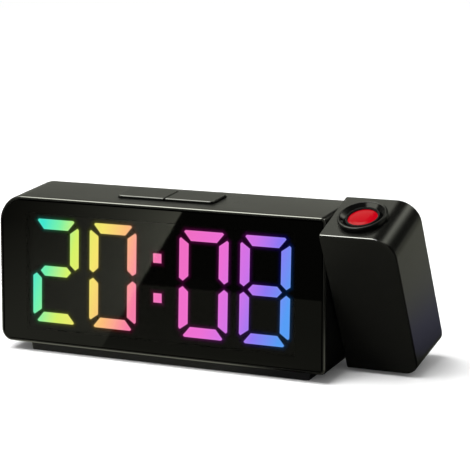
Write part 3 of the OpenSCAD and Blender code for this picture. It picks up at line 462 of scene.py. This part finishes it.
def lit_diffuser(name, s):
    """Milky diffuser lit from behind: hue runs along the display, each stroke is paler at its rim."""
    f = Finish(name)
    strokes = Strokes(f, s)
    rim = rise(strokes.distance, -0.9, -0.4)
    colour = f.blend(rim * 0.03, strokes.colour, grey(1.0))
    haze = f.noise(0.0009, 2.0)
    colour = f.blend(haze * 0.05, colour, f.blend(0.5, strokes.colour, grey(0.0)))
    lit = f.blend(rise(strokes.distance, -0.28, -0.12), colour, grey(0.0))
    return f.done(f.surface(f.blend(haze, tone("080808"), tone("101010")), f.between(haze, 0.5, 0.6),
                            Emission_Color=lit, Emission_Strength=s.light / s.smoke,
                            Specular_IOR_Level=0.02))


def mask_with_painted_glow(name, s):
    """Black mask moulding with a glow painted round the lit strokes, standing in for the light they spill."""
    f = Finish(name)
    strokes = Strokes(f, s)
    # painted glow: emission on the mask, fading with distance from the strokes
    reach = s.reach * 1000
    fade = 1 - (strokes.distance / reach).clamp()
    fade = fade * fade * fade
    speck = f.noise(0.0004, 2.0)
    deep = f.add("ShaderNodeHueSaturation", {}, {"Saturation": 2.6, "Value": 1.0, "Color": strokes.colour})
    colour = f.blend(fade, grey(0.0), deep)
    return f.done(f.surface(f.blend(speck, tone("010101"), tone("030303")), f.between(speck, 0.55, 0.7),
                            f.bump(speck, 0.00001, 0.4), Emission_Color=colour,
                            Emission_Strength=s.glow / s.smoke, Specular_IOR_Level=0.01))


def smoked_panel(name, s):
    """Smoked acrylic: a tinted view under a faint polished reflection, with a black border behind it."""
    f = Finish(name)
    x, y, z = f.axes()
    low, high = (v * 1000 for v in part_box("mirror_panel"))
    half_width, half_height = (high.x - low.x) / 2, (high.z - low.z) / 2 / FACE_UP.z
    middle = ((low.z + high.z) / 2 - FACE_FOOT.z / MM) / FACE_UP.z
    across, along = abs(x - (low.x + high.x) / 2), abs(along_face(y, z, FACE_UP) - middle)
    inset = (half_width - across).least(half_height - along)
    border = rise((across - WINDOW_HALF_WIDTH).most(along - WINDOW_HALF_HEIGHT), 0, 0.1)
    wipe = f.noise(0.03, 2.0, 0.5, (1, 0.3, 2))
    clear = f.add("ShaderNodeBsdfTransparent", {}, {"Color": grey(s.smoke ** 0.5)})
    shine = f.add("ShaderNodeBsdfAnisotropic", {"distribution": "GGX"},
                  {"Color": grey(1.0), "Roughness": f.between(wipe, 0.008, 0.016)})
    black = f.add("ShaderNodeBsdfTransparent", {}, {"Color": grey(0.0)})
    clear = f.add("ShaderNodeMixShader", {}, {0: border, 1: clear, 2: black})
    mirror = f.add("ShaderNodeFresnel", {}, {"IOR": 1.17}) * rise(inset, BARE_EDGE, BARE_EDGE + 0.1)
    return f.done(f.add("ShaderNodeMixShader", {}, {0: mirror * (1 + border * 0.2), 1: clear, 2: shine}))


def glass(name, colour, glow):
    """Tinted lens, lit from behind, brighter towards its middle."""
    f = Finish(name)
    offset = f.vector("SUBTRACT", f.place, tuple(LENS_AXIS))
    cross = f.vector("CROSS_PRODUCT", offset, tuple(HEAD_UP))
    radius = f.vector("LENGTH", cross, output="Value") * 1000
    middle = 1 - (radius / LENS_RADIUS).clamp() ** 2
    ripple = f.noise(0.0016, 2.0)
    light = f.blend(middle * 0.5 + ripple * 0.1, shaded(colour, 0.8), colour)
    return f.done(f.surface(f.blend(ripple, tone("1c0003"), tone("300006")), f.between(ripple, 0.06, 0.12),
                            Emission_Color=light, Emission_Strength=glow, Specular_IOR_Level=0.02))


def soft_rubber(name):
    """Matt rubber with a fine rough skin."""
    f = Finish(name)
    fine = f.noise(0.0005, 3.0, 0.7)
    return f.done(f.surface(f.blend(fine, tone("191919"), tone("2a2a29")), f.between(fine, 0.75, 0.92),
                            f.bump(fine, 0.00003, 0.7), Specular_IOR_Level=0.2, Sheen_Weight=0.15))


def paper(name):
    """Pressed paper of a loudspeaker cone, with fibres and pressed rings."""
    f = Finish(name)
    low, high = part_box("speaker_cone")
    centred = f.vector("SUBTRACT", f.place, tuple((low + high) / 2))
    rings = f.add("ShaderNodeTexWave", {"wave_type": "RINGS", "rings_direction": "Y"},
                  {"Vector": centred, "Scale": 150.0, "Distortion": 0.4})
    fibre = f.noise(0.0007, 4.0, 0.7)
    colour = f.blend(fibre, tone("141414"), tone("2b2a28"))
    return f.done(f.surface(colour, f.between(fibre, 0.75, 0.95), f.bump(rings + fibre * 0.5, 0.00008, 0.6),
                            Specular_IOR_Level=0.2))


def translucent(name, colour):
    """Acetal or nylon, waxy with faint flow marks."""
    f = Finish(name)
    flow = f.noise(0.003, 3.0, 0.6, (0.3, 1, 1))
    return f.done(f.surface(f.blend(flow, shaded(colour, 0.86), colour),
                            f.between(flow, 0.32, 0.46), f.bump(flow, 0.00001, 0.4),
                            Specular_IOR_Level=0.4))


def film_slide(name):
    """Projector slide: dark film in a frame with clear windows."""
    f = Finish(name)
    speck = f.noise(0.0005, 3.0)
    return f.done(f.surface(f.blend(speck, tone("1c2022"), tone("343a3d")), f.between(speck, 0.12, 0.22),
                            Specular_IOR_Level=0.5))


def make_finishes(scene):
    m, d, o = scene.clock_moulding, scene.clock_display, scene.clock_optics
    body = tuple(m.colour)
    return {
        "case": moulded("satin black moulding", body, m.gloss, m.grain, polished=case_edge),
        # the head's dull zone is a painted dark line of shade along its front edge
        "head": moulded("head moulding", body, m.gloss - 0.04, m.grain, polished=head_edge, dull=head_painted_dark_line),
        "cover": moulded("rear cover moulding", body, 0.5, m.grain * 1.6, 0.2, 0.00003),
        "key": moulded("key cap moulding", body, 0.36, m.grain),
        "key_edge": moulded("polished key edge", body, 0.26, m.grain, 0.5, 0.000003),
        "button": moulded("rear button moulding", tone("232324"), 0.4, m.grain, 0.25),
        "foot": moulded("foot bar moulding", tone("161617"), 0.5, m.grain * 1.4, 0.12, 0.00002),
        "ring": moulded("polished ring", tone("060606"), 0.13, 0.0006, 0.1, 0.000002, 0.1),
        "optics": moulded("matt optics black", tone("0a0a0b"), 0.7, 0.0004, 0.1, 0.00002),
        "trunnion": moulded("glass-filled nylon", tone("2c2c2e"), 0.5, 0.0008, 0.25, 0.00003, 0.35),
        "switch": moulded("switch moulding", tone("2b2b2e"), 0.42, 0.0005, 0.3),
        "socket": moulded("socket moulding", tone("121213"), 0.38, 0.0005, 0.3),
        "panel": smoked_panel("smoked acrylic", d),
        # the mask's finish has a glow painted round the lit strokes
        "mask": mask_with_painted_glow("display mask with painted glow", d),
        "lit": lit_diffuser("lit diffuser", d),
        "unlit": moulded("unlit diffuser", tone("101012"), 0.5, 0.0006, 0.05),
        "led": translucent("phosphor chip", tone("e9e2c4")),
        "board": laminate("circuit board"),
        "steel": metal("zinc-plated steel", tone("b9bcc2"), 0.3),
        "dark_steel": metal("blackened steel", tone("3a3a3e"), 0.38),
        "nickel": metal("nickel cell case", tone("c9cbce"), 0.24, 0.0003, True),
        "brass": metal("sprung brass", tone("c9a765"), 0.28),
        "tin": metal("tinned socket shell", tone("b4b6ba"), 0.32),
        "basket": metal("pressed speaker frame", tone("8e9196"), 0.4),
        "cone": paper("pressed paper cone"),
        "pad": soft_rubber("rubber pad"),
        "acetal": translucent("white acetal", tone("d9d6cc")),
        "slide": film_slide("digit slide"),
        "lamp": glass("projector lamp", tuple(o.lamp), 0.8),
        "lens": glass("lit projection lens", tuple(o.lamp), 0.95),
    }


FINISH = {}


def finish(name):
    if not FINISH:
        FINISH.update(make_finishes(bpy.context.scene))
    return FINISH[name]


def coat(name, *nodes):
    """Gives carried-over nodes their finish."""
    for node in nodes:
        mesh = NODES[node].data
        if not mesh.materials:
            mesh.materials.append(finish(name))
        for k in range(len(mesh.materials)):
            mesh.materials[k] = finish(name)


def placed(name, data):
    """A new object in the scene."""
    thing = bpy.data.objects.new(name, data)
    bpy.context.scene.collection.objects.link(thing)
    return thing


# ---- screws ----------------------------------------------------------------

class Recipe:
    """A Geometry Nodes tree with named inputs; add works as in a material."""
    add = Finish.add

    def __init__(self, name, inputs):
        self.tree = bpy.data.node_groups.new(name, "GeometryNodeTree")
        self.key = {}
        for label, kind, value in inputs:
            socket = self.tree.interface.new_socket(label, in_out="INPUT", socket_type="NodeSocket" + kind)
            if value is not None:
                socket.default_value = value
            self.key[label] = socket.identifier
        self.tree.interface.new_socket("Geometry", in_out="OUTPUT", socket_type="NodeSocketGeometry")
        self.given = self.tree.nodes.new("NodeGroupInput")

    def input(self, label):
        return Signal(self, self.given.outputs[label])

    def done(self, geometry):
        end = self.tree.nodes.new("NodeGroupOutput")
        self.tree.links.new(geometry.socket, end.inputs[0])
        return self


def screw_recipe(fixings):
    """Domed cross-head screws with a helical thread, one on each point, turned at random."""
    g = Recipe("cross-head screws", [
        ("Geometry", "Geometry", None), ("Head radius", "Float", 0.002), ("Head height", "Float", 0.001),
        ("Shank radius", "Float", 0.0009), ("Length", "Float", 0.006), ("Recess", "Float", fixings.recess),
        ("Pitch", "Float", fixings.pitch), ("Seed", "Int", fixings.seed), ("Finish", "Material", None)])
    head, tall, shank, length, pitch, recess = (g.input(label) for label in (
        "Head radius", "Head height", "Shank radius", "Length", "Pitch", "Recess"))
    # how far the dome falls and the thread is cut, how long the point is and how much it thins, as shares
    dome, thread, point, thinning = 0.16, 0.11, 1.6, 0.7
    rod = g.add("GeometryNodeMeshCylinder", {"fill_type": "TRIANGLE_FAN"},
                {"Vertices": 20, "Side Segments": 56, "Fill Segments": 2, "Radius": 1.0, "Depth": 1.0},
                "Mesh")
    split = g.add("ShaderNodeSeparateXYZ", {}, {0: g.add("GeometryNodeInputPosition")}).socket.node
    x, y, z = (Signal(g, o) for o in split.outputs)
    depth = (0.5 - z) * length
    out = ((x * x + y * y) ** 0.5).least(1)
    round_off = (1 - depth / (tall * 0.6)).clamp()
    head_radius = head * (1 - round_off * round_off * dome)
    turn = y.math("ARCTAN2", y, x)
    wave = y.math("COSINE", depth / pitch * (2 * math.pi) - turn)
    below = ((depth - tall * 1.2) / (tall * 0.3)).clamp()
    taper = ((depth - (length - shank * point)) / (shank * point)).clamp()
    shank_radius = shank * (1 - (thread - wave * thread) * below) * (1 - taper * taper * thinning)
    in_head = depth < tall
    radius = shank_radius + in_head * (head_radius - shank_radius)
    drop = tall * dome * out * out * (1 - depth / tall).clamp()
    place = g.add("ShaderNodeCombineXYZ", {}, {0: x * radius, 1: y * radius, 2: 0 - depth - drop})
    screw = g.add("GeometryNodeSetPosition", {}, {"Geometry": rod, "Position": place})
    bars = []
    for wide, deep in ((1.1, recess), (recess, 1.1)):
        size = g.add("ShaderNodeCombineXYZ", {}, {0: head * wide, 1: head * deep, 2: tall * 1.1})
        bars.append(g.add("GeometryNodeMeshCube", {}, {"Size": size}, "Mesh"))
    cut = g.add("GeometryNodeMeshBoolean", {"operation": "DIFFERENCE", "solver": "EXACT"},
                {0: screw, 1: bars})
    facing = g.add("FunctionNodeAlignRotationToVector", {"axis": "Z"},
                   {"Vector": g.add("GeometryNodeInputNamedAttribute", {"data_type": "FLOAT_VECTOR"},
                                    {"Name": "facing"}, "Attribute")})
    angle = g.add("FunctionNodeRandomValue", {"data_type": "FLOAT"},
                  {2: 0.0, 3: math.pi, 8: g.input("Seed")}, 1)
    spin = g.add("FunctionNodeAxisAngleToRotation", {}, {"Axis": (0, 0, 1), "Angle": angle})
    facing = g.add("FunctionNodeRotateRotation", {"rotation_space": "LOCAL"},
                   {"Rotation": facing, "Rotate By": spin})
    screws = g.add("GeometryNodeInstanceOnPoints", {},
                   {"Points": g.input("Geometry"), "Instance": cut, "Rotation": facing})
    whole = g.add("GeometryNodeRealizeInstances", {}, {0: screws})
    return g.done(g.add("GeometryNodeSetMaterial", {}, {"Geometry": whole, "Material": g.input("Finish")}))


def loose_parts(bm):
    """The separate pieces of a mesh, each an array of points."""
    seen = set()
    for start in bm.verts:
        if start in seen:
            continue
        seen.add(start)
        stack, part = [start], []
        while stack:
            v = stack.pop()
            part.append(tuple(v.co))
            for e in v.link_edges:
                w = e.other_vert(v)
                if w not in seen:
                    seen.add(w)
                    stack.append(w)
        yield np.array(part)


def screw_sizes(points):
    """Top of the head, outward direction, head radius and height, shank radius and length of one screw."""
    middle = (points.min(0) + points.max(0)) / 2
    values, ways = np.linalg.eigh(np.cov((points - middle).T))
    axis = ways[:, np.argmax(abs(values - values.mean()))]
    along = (points - middle) @ axis
    spread = np.linalg.norm((points - middle) - np.outer(along, axis), axis=1)
    wide = spread > 0.9 * spread.max()
    if along[wide].mean() < 0:
        axis, along = -axis, -along
    thin = along < along.min() + LEVEL
    return (middle + axis * along.max(), axis, spread.max(), along[wide].max() - along[wide].min(),
            spread[thin].max(), along.max() - along.min())


def screwed(node, finish_name, slot):
    """A node's screws again, with cross recesses and threads."""
    bm = bmesh.new()
    bm.from_mesh(NODES[node].data)
    bmesh.ops.remove_doubles(bm, verts=bm.verts, dist=WELD)
    tops, ways, *sizes = zip(*(screw_sizes(part) for part in loose_parts(bm)))
    bm.free()
    carrier_mesh = bpy.data.meshes.new(node + "_points")
    carrier_mesh.from_pydata([tuple(top) for top in tops], [], [])
    facing = carrier_mesh.attributes.new("facing", "FLOAT_VECTOR", "POINT")
    facing.data.foreach_set("vector", np.array(ways, dtype=np.float32).ravel())
    carrier = placed(node + "_carrier", carrier_mesh)
    recipe = screw_recipe(bpy.context.scene.clock_fixings)
    make = carrier.modifiers.new("screws", "NODES")
    make.node_group = recipe.tree
    for label, values in zip(("Head radius", "Head height", "Shank radius", "Length"), sizes):
        make[recipe.key[label]] = float(np.mean(values))
    make[recipe.key["Finish"]] = finish(finish_name)
    graph = bpy.context.evaluated_depsgraph_get()
    mesh = bpy.data.meshes.new_from_object(carrier.evaluated_get(graph))
    carrier.modifiers.remove(make)
    bpy.data.objects.remove(carrier)
    if not mesh.polygons:
        raise RuntimeError(node + ": the screws came out empty")
    mesh.name = node + "_piece"
    return settled(mesh, node + "_piece", BODY_OF[node], slot, (node,), 40)


# ---- piece helpers ---------------------------------------------------------

def new_piece(name, vertices, faces, body, finish_name, slot, replaced=(), smooth=30):
    """A piece of its own mesh, riding on a body."""
    mesh = bpy.data.meshes.new(name)
    mesh.from_pydata([tuple(v) for v in vertices], [], [tuple(f) for f in faces])
    mesh.materials.append(finish(finish_name))
    return settled(mesh, name, body, slot, replaced, smooth)


def settled(mesh, name, body, slot, replaced=(), smooth=30):
    """An object for a finished mesh, shaded smooth up to an angle and riding on its body."""
    mesh.polygons.foreach_set("use_smooth", [True] * len(mesh.polygons))
    mesh.set_sharp_from_angle(angle=math.radians(smooth))
    piece = placed(name, mesh)
    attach(piece, body)
    if replaced:
        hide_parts(*replaced)
    return piece


def merged(node):
    """A node's mesh with its doubles merged and its flat faces whole, as a bmesh."""
    bm = bmesh.new()
    bm.from_mesh(NODES[node].data)
    bmesh.ops.remove_doubles(bm, verts=bm.verts, dist=WELD)
    bmesh.ops.dissolve_degenerate(bm, edges=bm.edges, dist=WELD / 2)
    bmesh.ops.dissolve_limit(bm, angle_limit=math.radians(0.4), verts=bm.verts, edges=bm.edges)
    return bm


def taken(bm):
    """The points and faces of a bmesh, which is freed."""
    bm.verts.index_update()
    points = [v.co.copy() for v in bm.verts], [[v.index for v in f.verts] for f in bm.faces]
    bm.free()
    return points


def refinished(node, finish_name, slot, edge=0.0, smooth=32, rim_finish=None):
    """A node's shape again, evenly shaded, with rounded edges or only a rounded outline of its top."""
    shape = taken(merged(node))
    piece = new_piece(node + "_piece", *shape, BODY_OF[node], finish_name, slot, (node,), smooth)
    if edge:
        bevel = piece.modifiers.new("edge", "BEVEL")
        bevel.width, bevel.segments, bevel.limit_method = edge, 3, "ANGLE"
        bevel.angle_limit = math.radians(smooth)
        bevel.harden_normals = True
        if rim_finish:
            mesh = piece.data
            top = max(v.co.z for v in mesh.vertices) - LEVEL
            weight = mesh.attributes.new("bevel_weight_edge", "FLOAT", "EDGE")
            for e in mesh.edges:
                weight.data[e.index].value = float(all(mesh.vertices[k].co.z > top for k in e.vertices))
            bevel.limit_method, bevel.use_clamp_overlap, bevel.material = "WEIGHT", False, 1
            mesh.materials.append(finish(rim_finish))
    else:
        even = piece.modifiers.new("even shading", "WEIGHTED_NORMAL")
        even.mode, even.keep_sharp, even.weight = "FACE_AREA", True, 90
    return piece


# ---- operators -------------------------------------------------------------

class CLOCK_OT_case(bpy.types.Operator):
    """Case shell, rear cover, foot bar and its pads"""
    bl_idname = "clock.case"
    bl_label = "Case mouldings"

    def execute(self, context):
        refinished("case_shell", "case", "case_plastic", smooth=34)
        refinished("foot_bar", "foot", "foot_plastic", 0.0003)
        coat("cover", "rear_cover")
        coat("pad", "foot_pads")
        return {"FINISHED"}


class CLOCK_OT_panel(bpy.types.Operator):
    """Smoked mirror panel, its back a hair clear of the mask it rests on"""
    bl_idname = "clock.panel"
    bl_label = "Mirror panel"

    def execute(self, context):
        bm = merged("mirror_panel")
        depths = {v: (v.co - FACE_FOOT).dot(FACE_OUT) for v in bm.verts}
        middle = (min(depths.values()) + max(depths.values())) / 2
        for v, depth in depths.items():
            if depth < middle:
                v.co += FACE_OUT * HAIR
        new_piece("smoked_panel", *taken(bm), BODY_OF["mirror_panel"], "panel", "mirror_acrylic",
                  ("mirror_panel",))
        return {"FINISHED"}


class CLOCK_OT_display(bpy.types.Operator):
    """Mask, lit and unlit strokes, colon, segment LEDs and display board"""
    bl_idname = "clock.display"
    bl_label = "Display"

    def execute(self, context):
        # the mask's finish carries a glow painted round the lit strokes
        coat("mask", "display_mask")
        coat("lit", "digit_hours_tens", "digit_hours_units", "digit_minutes_tens", "digit_minutes_units",
             "colon_dots")
        coat("unlit", "unlit_segments")
        coat("led", "segment_leds")
        coat("board", "display_board")
        return {"FINISHED"}


class CLOCK_OT_keys(bpy.types.Operator):
    """Top keys, rear buttons and their switches"""
    bl_idname = "clock.keys"
    bl_label = "Keys and buttons"

    def execute(self, context):
        edge = context.scene.clock_moulding.edge
        for node in ("snooze_key", "brightness_key"):
            refinished(node, "key", "key_plastic", edge, rim_finish="key_edge")
        coat("button", "time_button", "alarm_button", "up_button", "down_button")
        coat("switch", "key_switches", "set_switches")
        return {"FINISHED"}


class CLOCK_OT_boards(bpy.types.Operator):
    """Main board, key board and lamp board"""
    bl_idname = "clock.boards"
    bl_label = "Circuit boards"

    def execute(self, context):
        coat("board", "main_board", "key_board", "lamp_board")
        return {"FINISHED"}


class CLOCK_OT_rear(bpy.types.Operator):
    """Loudspeaker, back-up cell and sockets"""
    bl_idname = "clock.rear"
    bl_label = "Rear fittings"

    def execute(self, context):
        for name, node in (("basket", "speaker_frame"), ("cone", "speaker_cone"), ("cover", "battery_door"),
                           ("nickel", "coin_cell"), ("brass", "cell_contact"), ("socket", "power_inlet"),
                           ("tin", "usb_port")):
            coat(name, node)
        return {"FINISHED"}


class CLOCK_OT_screws(bpy.types.Operator):
    """All screws"""
    bl_idname = "clock.screws"
    bl_label = "Screws"

    def execute(self, context):
        for node in ("display_screws", "board_screws", "key_board_screws", "foot_screws",
                     "trunnion_screws", "optics_screws"):
            screwed(node, "steel", "screw_steel")
        for node in ("rear_screws", "door_screw", "pod_screws"):
            screwed(node, "dark_steel", "screw_black")
        return {"FINISHED"}


class CLOCK_OT_pivot(bpy.types.Operator):
    """Pivot bush, washer, clip and trunnion"""
    bl_idname = "clock.pivot"
    bl_label = "Pivot"

    def execute(self, context):
        coat("acetal", "pivot_bush")
        coat("steel", "friction_washer", "retaining_clip")
        coat("trunnion", "pod_trunnion")
        return {"FINISHED"}


class CLOCK_OT_head(bpy.types.Operator):
    """Shell and side cover of the projector head"""
    bl_idname = "clock.head"
    bl_label = "Projector head"

    def execute(self, context):
        refinished("pod_shell", "head", "case_plastic", smooth=34)
        coat("head", "pod_side_cover")
        return {"FINISHED"}


class CLOCK_OT_optics(bpy.types.Operator):
    """Focus ring, lens barrel, lens, tube and lamp"""
    bl_idname = "clock.optics"
    bl_label = "Projector optics"

    def execute(self, context):
        coat("ring", "focus_ring")
        coat("optics", "lens_barrel", "optics_tube")
        coat("lens", "projection_lens")
        coat("lamp", "projector_led")
        coat("slide", "time_slide")
        coat("acetal", "focus_retainer")
        return {"FINISHED"}


class CLOCK_OT_studio(bpy.types.Operator):
    """Floor, white surround, lamp, sheets of painted reflection and camera"""
    bl_idname = "clock.studio"
    bl_label = "Studio"

    def execute(self, context):
        scene = context.scene
        settings = scene.clock_studio
        scene.view_settings.view_transform = "Standard"
        scene.world = self.surround(settings)
        self.floor(settings)
        self.lamp("overhead lamp", (-0.3, -0.3, 1.15), (0, 0, 0), 1.1, settings.key)
        self.canopy(settings)
        self.painted_table_reflection(settings)
        self.camera(scene)
        return {"FINISHED"}

    @staticmethod
    def surround(settings):
        """A white world that is dimmer as a lamp than to look at."""
        f = Surround("white surround")
        level = settings.fill + seen(f) * (1 - settings.fill)
        return f.done(f.add("ShaderNodeBackground", {}, {"Strength": level}))

    @staticmethod
    def floor(settings):
        """A matt floor, plain white to the camera from 0.5 to 1.4 metres outwards."""
        f = Finish("studio floor")
        direct = seen(f)
        fine = f.noise(0.002, 2.0)
        colour = f.blend(fine, grey(settings.floor * 0.99), grey(settings.floor))
        matt = f.add("ShaderNodeBsdfDiffuse", {}, {"Color": colour})
        lift = f.add("ShaderNodeEmission", {}, {"Color": grey(1.0), "Strength": direct * 0.02})
        near = f.add("ShaderNodeAddShader", {}, {0: matt, 1: lift})
        x, y, z = f.axes(1)
        far = rise((x * x + y * y) ** 0.5, 0.5, 1.4) * direct
        white = f.add("ShaderNodeEmission", {}, {"Color": grey(1.0), "Strength": 1.0})
        f.done(f.add("ShaderNodeMixShader", {}, {0: far, 1: near, 2: white}))
        bm = bmesh.new()
        bmesh.ops.create_grid(bm, x_segments=8, y_segments=8, size=FLOOR_HALF)
        mesh = bpy.data.meshes.new("floor")
        bm.to_mesh(mesh)
        bm.free()
        mesh.materials.append(f.material)
        placed("floor", mesh)

    @staticmethod
    def reflected_only(name, vertices, faces, material):
        """A stage sheet that only shows in polished surfaces."""
        mesh = bpy.data.meshes.new(name)
        mesh.from_pydata([tuple(v) for v in vertices], [], faces)
        mesh.materials.append(material)
        sheet = placed(name, mesh)
        for ray in ("camera", "diffuse", "shadow", "transmission", "volume_scatter"):
            setattr(sheet, "visible_" + ray, False)

    def canopy(self, settings):
        """A dome over the table, seen only in polished surfaces and lighting nothing, with painted
        reflections of soft boxes and dark gaps, by direction from its middle.
        """
        f = Finish("studio canopy")
        x, y, z = f.axes(1 / CANOPY)
        behind = rise(y, 0.0, 0.25)
        even = (1 + (x + 0.47) * 2.2).most(0.75).least(1.25)
        level = settings.low_back * even * rise(z, 0.34, 0.26) + settings.high_back * rise(z, 0.34, 0.62)
        level = settings.front + behind * (level - settings.front)
        # painted reflections: dark gaps, a narrow strip highlight and an overhead highlight for the polished
        # edges
        dark = band(x, -0.27, -0.2, 0.22, 0.27) * behind
        side_dark = band(x, 0.54, 0.58, 0.84, 0.9) * rise(z, 0.05, 0.09) * behind
        strip = band(x, 0.29, 0.34, 0.44, 0.50) * rise(z, 0.45, 0.55) * behind
        over = rise(z, 0.5, 0.56) * band(y, -0.74, -0.68, 0.2, 0.27) * band(x, -0.8, -0.74, -0.2, -0.12)
        level = level * (1 - dark) * (1 - side_dark) + strip * settings.strip + over * settings.over
        f.done(f.add("ShaderNodeEmission", {}, {"Color": (1.0, 1.02, 0.87, 1.0), "Strength": level}))
        rows, steps = 24, 64
        turns = [2 * math.pi * n / steps for n in range(steps)]
        vertices, faces = [], []
        for k in range(rows + 1):
            up = math.pi / 2 * k / rows
            out = CANOPY * math.cos(up)
            vertices += [(out * math.cos(t), out * math.sin(t), CANOPY * math.sin(up)) for t in turns]
        for k in range(rows):
            low, high = k * steps, (k + 1) * steps
            faces += [(low + n, high + n, high + (n + 1) % steps, low + (n + 1) % steps)
                      for n in range(steps)]
        self.reflected_only("canopy", vertices, faces, f.material)

    def painted_table_reflection(self, settings):
        """The table as polished surfaces see it, as a painted reflection: a pale slanting sheet at the left,
        dimmer by the clock.
        """
        f = Finish("painted table reflection")
        x, y, z = f.axes()
        front = 0 - y
        # painted reflection: the pale sheet at the left, from its slanting edge outwards
        edge = x + front * 0.5505 + 22.2
        spread = 1.1 + front * 0.00139
        outer = settings.card * (math.e ** ((0 - (0 - edge).most(0) / spread) / 32))
        inner = 1.7
        ahead = front.most(1) / 110
        distance = rise(ahead.math("LOGARITHM", ahead, 18), 0, 1)
        sheet = inner + distance * (outer - inner)
        on_sheet = (1 - rise(edge / spread, -0.3, 0.3)) * rise(front, 40, 60)
        # painted reflection of the plain table before the clock, darker far off
        plain = (0.84 - rise(front, 95, 300) * 0.1) * (1 - rise(front, 566, 574) * 0.76)
        # painted reflection of the table close by, with a painted shadow where the clock stands
        contact = math.e ** ((59.3 - (x * 0.634 + front * 0.773)).least(0) / 12) * rise(x, 30, 55)
        near = (1.08 - rise(x, 30, 58) * 0.72) * (1 - contact) * (1 - rise(x, 108, 125) * 0.85)
        close = rise(front, 66, 90)
        plain = (plain * close + near * (1 - close)) * (1 - rise(x, 120, 180) * 0.9)
        # painted reflection of the table behind the clock, with a painted bluish patch at the head
        past = rise(y, 5, 30)
        behind = (0.14 + 0.62 * rise(x, 112, 158)) * past + near * (1 - past)
        painted_bluish_reflection = band(x, 112, 120, 138, 150) * rise(y, 20, 30)
        before = rise(front, 0, 1)
        level = plain * before + behind * (1 - before)
        level = level + on_sheet * (sheet - level)
        colour = f.blend(painted_bluish_reflection, (1.0, 1.02, 0.8, 1.0), (0.93, 0.93, 1.4, 1.0))
        f.done(f.add("ShaderNodeEmission", {}, {"Color": colour, "Strength": level}))
        far, low = TABLE_HALF, 0.0004
        corners = [(-far, -far, low), (far, -far, low), (far, far, low), (-far, far, low)]
        self.reflected_only("painted table reflection", corners, [(0, 1, 2, 3)], f.material)

    @staticmethod
    def lamp(name, place, aim, size, power):
        data = bpy.data.lights.new(name, "AREA")
        data.shape, data.size, data.energy = "DISK", size, power
        lamp = placed(name, data)
        lamp.location = place
        lamp.rotation_euler = (Vector(aim) - Vector(place)).to_track_quat("-Z", "Y").to_euler()

    @staticmethod
    def camera(scene):
        turn, above, roll = (math.radians(a) for a in (CAMERA_ROUND, CAMERA_ABOVE, CAMERA_ROLL))
        back = Vector((math.sin(turn) * math.cos(above), -math.cos(turn) * math.cos(above), math.sin(above)))
        right = Vector((math.cos(turn), math.sin(turn), 0))
        up = back.cross(right)
        right, up = (right * math.cos(roll) + up * math.sin(roll),
                     up * math.cos(roll) - right * math.sin(roll))
        data = bpy.data.cameras.new("camera")
        data.lens, data.sensor_width = CAMERA_LENS, CAMERA_SENSOR
        camera = placed("camera", data)
        stand = Matrix((right, up, back)).transposed().to_4x4()
        stand.translation = CAMERA_AIM + back * CAMERA_AWAY
        camera.matrix_world = stand
        scene.camera = camera


class CLOCK_PT_sidebar(bpy.types.Panel):
    """Clock pieces"""
    bl_idname = "CLOCK_PT_sidebar"
    bl_label = "Projection alarm clock"
    bl_space_type = "VIEW_3D"
    bl_region_type = "UI"
    bl_category = "Clock"

    def draw(self, context):
        for operator in OPERATORS:
            self.layout.operator(operator.bl_idname)
        for name in GROUPS:
            box = self.layout.box()
            group = getattr(context.scene, name)
            box.label(text=GROUPS[name].__doc__)
            for prop in GROUPS[name].__annotations__:
                box.prop(group, prop)


GROUPS = {"clock_moulding": ClockMoulding, "clock_display": ClockDisplay, "clock_fixings": ClockFixings,
          "clock_optics": ClockOptics, "clock_studio": ClockStudio}
OPERATORS = (CLOCK_OT_case, CLOCK_OT_panel, CLOCK_OT_display, CLOCK_OT_keys, CLOCK_OT_boards, CLOCK_OT_rear,
             CLOCK_OT_screws, CLOCK_OT_pivot, CLOCK_OT_head, CLOCK_OT_optics, CLOCK_OT_studio)


def register():
    for cls in (*GROUPS.values(), *OPERATORS, CLOCK_PT_sidebar):
        bpy.utils.register_class(cls)
    for name, cls in GROUPS.items():
        setattr(bpy.types.Scene, name, PointerProperty(type=cls))


def unregister():
    for name in GROUPS:
        delattr(bpy.types.Scene, name)
    for cls in (CLOCK_PT_sidebar, *reversed(OPERATORS), *reversed(list(GROUPS.values()))):
        bpy.utils.unregister_class(cls)


def main():
    register()
    for operator in OPERATORS:
        area, name = operator.bl_idname.split(".")
        getattr(getattr(bpy.ops, area), name)()


if __name__ == "__main__":
    main()
